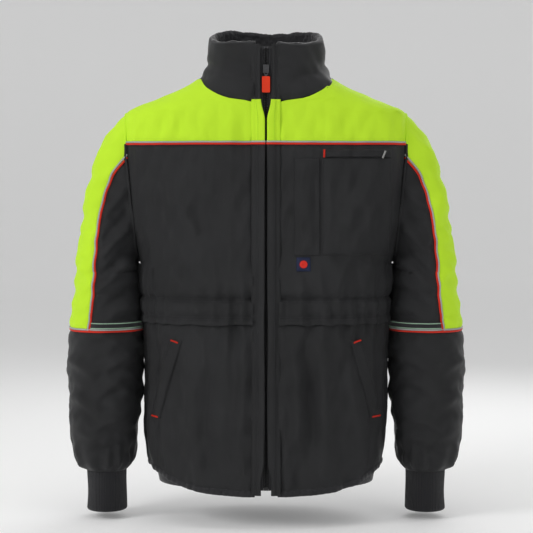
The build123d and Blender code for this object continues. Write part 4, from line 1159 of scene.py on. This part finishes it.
for side in ("left", "right"):
    inner_x, outer_x, half_y, middle_y = (float(v) for v in sleeve_row(np.array(1.0)))
    centre = np.array([(inner_x + outer_x) / 2, middle_y])
    half = np.array([(outer_x - inner_x) / 2, half_y])
    low, top, roll = SLEEVE_END - CUFF_LENGTH, SLEEVE_END + 10, 3.0
    phi = np.linspace(0, 2 * PI, 481)[:-1][:, None]
    down = np.linspace(top, low + roll, 40)
    turn = np.linspace(0, PI, 9)[1:]
    back_up = np.linspace(low + roll + 2, top, 24)
    z = np.concatenate([down, low + roll - roll * np.sin(turn), back_up])[None, :]
    inset = np.concatenate([0 * down, roll * (1 - np.cos(turn)), np.full(24, 2 * roll)])[None, :]
    waist = -1.5 * np.sin(PI * np.clip((z - low) / (top - low), 0, 1)) - 1.6
    at_roll = (inset > 0) * (inset < 2 * roll)
    rib = 0.75 * np.abs(np.sin(phi * 36)) * np.where(inset < roll, 1, -1) * (1 - 0.4 * at_roll)
    out = waist - inset + rib + 0.5 * np.sin(phi * 3 + z / 14)
    x = centre[0] + (half[0] + out) * np.cos(phi)
    y = centre[1] + (half[1] + out) * np.sin(phi)
    grid = np.stack([x, y, z + 0 * x], -1)
    points = grid.reshape(-1, 3)
    faces = grid_quads(grid.shape[0], grid.shape[1], 0, True, True)
    n = grid.shape[1]
    for i in range(grid.shape[0]):
        j = (i + 1) % grid.shape[0]
        faces.append((i * n, i * n + n - 1, j * n + n - 1, j * n))
    if side == "right":
        points, faces = mirror(points, faces)
    add_mesh("ribbed_cuff_" + side, points, faces, KNIT, body="sleeve_" + side,
             nodes=["knit_cuff_" + side])

low, high = (np.array(c) * 1000 for c in (LOOP_LOW, LOOP_HIGH))
RING = 12.2
turn = np.linspace(PI, 2 * PI, 25)
path = [(-RING, 0, z) for z in np.linspace(high[2] - 0.5, 1.5, 6)]
path += [(RING * math.cos(t), 0, RING * math.sin(t)) for t in turn]
path += [(RING, 0, z) for z in np.linspace(1.5, high[2] - 0.5, 6)]
path = np.array(path) + np.array([0, (low[1] + high[1]) / 2 + BASE_Y, BASE_Z])
points, faces = tube(path, 0.85, 10, flat=4.4, up=np.tile([0.0, 1.0, 0.0], (len(path), 1)))
add_mesh("loop_webbing", points, faces, TAPE, nodes=["hanger_loop"])

for node, mat in (("zip_slider", METAL), ("zip_pull_ring", METAL), ("zip_pull_grip", ORANGE),
                  ("zip_top_stops", METAL), ("zip_box", TOOTH)):
    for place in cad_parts[node].material_slots:
        place.link = "OBJECT"
        place.material = mat

# ------------------------------------------------------------ camera, floor and light
CAMERA_AWAY = 3000.0
LOOK = np.array([0.9, -70.0, 411.0])
TILT = math.radians(3.0)


def to_point(p):
    return Vector(to_frame(p).tolist())


eye = LOOK + CAMERA_AWAY * np.array([0.0, -math.cos(TILT), math.sin(TILT)])
camera_data = bpy.data.cameras.new("camera")
camera = bpy.data.objects.new("camera", camera_data)
bpy.context.scene.collection.objects.link(camera)
camera.location = to_point(eye)
camera.rotation_euler = (to_point(LOOK) - camera.location).to_track_quat("-Z", "Y").to_euler()
camera_data.sensor_width = 36.0
camera_data.lens = 36.0 * (CAMERA_AWAY - 50.0) / 959.0
camera_data.clip_end = 50.0
bpy.context.scene.camera = camera

floor_mat = bpy.data.materials.new("studio_paper")
floor_mat.use_nodes = True
paper = floor_mat.node_tree.nodes["Principled BSDF"]
paper.inputs["Base Color"].default_value = (0.86, 0.86, 0.86, 1)
paper.inputs["Roughness"].default_value = 0.95
paper.inputs["Emission Color"].default_value = (1, 1, 1, 1)
paper.inputs["Emission Strength"].default_value = 0.13
FLOOR_Z = -60.0
profile = [(200, FLOOR_Z), (3000, FLOOR_Z), (7500, FLOOR_Z)]
profile += [(7500 + 1500 * math.sin(t), FLOOR_Z + 1500 * (1 - math.cos(t)))
            for t in np.linspace(0.15, PI / 2, 10)]
profile.append((9000, 7000))
turns = np.linspace(0, 2 * PI, 97)[:-1]
corners = [(0.0, 0.0, FLOOR_Z)] + [(r * math.cos(t), r * math.sin(t), h) for t in turns for r, h in profile]
n = len(profile)
floor_faces = []
for i in range(96):
    a, b = 1 + i * n, 1 + ((i + 1) % 96) * n
    floor_faces.append((0, a, b))
    floor_faces += [(a + k, a + k + 1, b + k + 1, b + k) for k in range(n - 1)]
mesh = bpy.data.meshes.new("floor")
mesh.from_pydata(to_frame(np.array(corners)).tolist(), [], floor_faces)
mesh.materials.append(floor_mat)
mesh.polygons.foreach_set("use_smooth", [True] * len(mesh.polygons))
floor = bpy.data.objects.new("floor", mesh)
bpy.context.scene.collection.objects.link(floor)


def lamp(name, place, size, power, aim):
    data = bpy.data.lights.new(name, "AREA")
    data.shape = "RECTANGLE"
    data.size, data.size_y = size
    data.energy = power
    light = bpy.data.objects.new(name, data)
    bpy.context.scene.collection.objects.link(light)
    light.location = to_point(place)
    light.rotation_euler = (to_point(aim) - light.location).to_track_quat("-Z", "Y").to_euler()


lamp("key", (-2300, -1500, 1700), (1.1, 1.1), 32, (0, 0, 420))
lamp("fill", (1900, -2000, 900), (1.4, 1.4), 7, (0, 0, 400))
lamp("top", (0, -300, 2600), (2.0, 1.2), 10, (0, 0, 400))
lamp("rim", (600, 1500, 1500), (1.6, 1.6), 12, (0, 0, 400))
bpy.context.scene.view_settings.view_transform = "Standard"
world = bpy.data.worlds.new("studio")
bpy.context.scene.world = world
world.use_nodes = True
world.node_tree.nodes["Background"].inputs["Color"].default_value = (1, 1, 1, 1)
world.node_tree.nodes["Background"].inputs["Strength"].default_value = 0.4
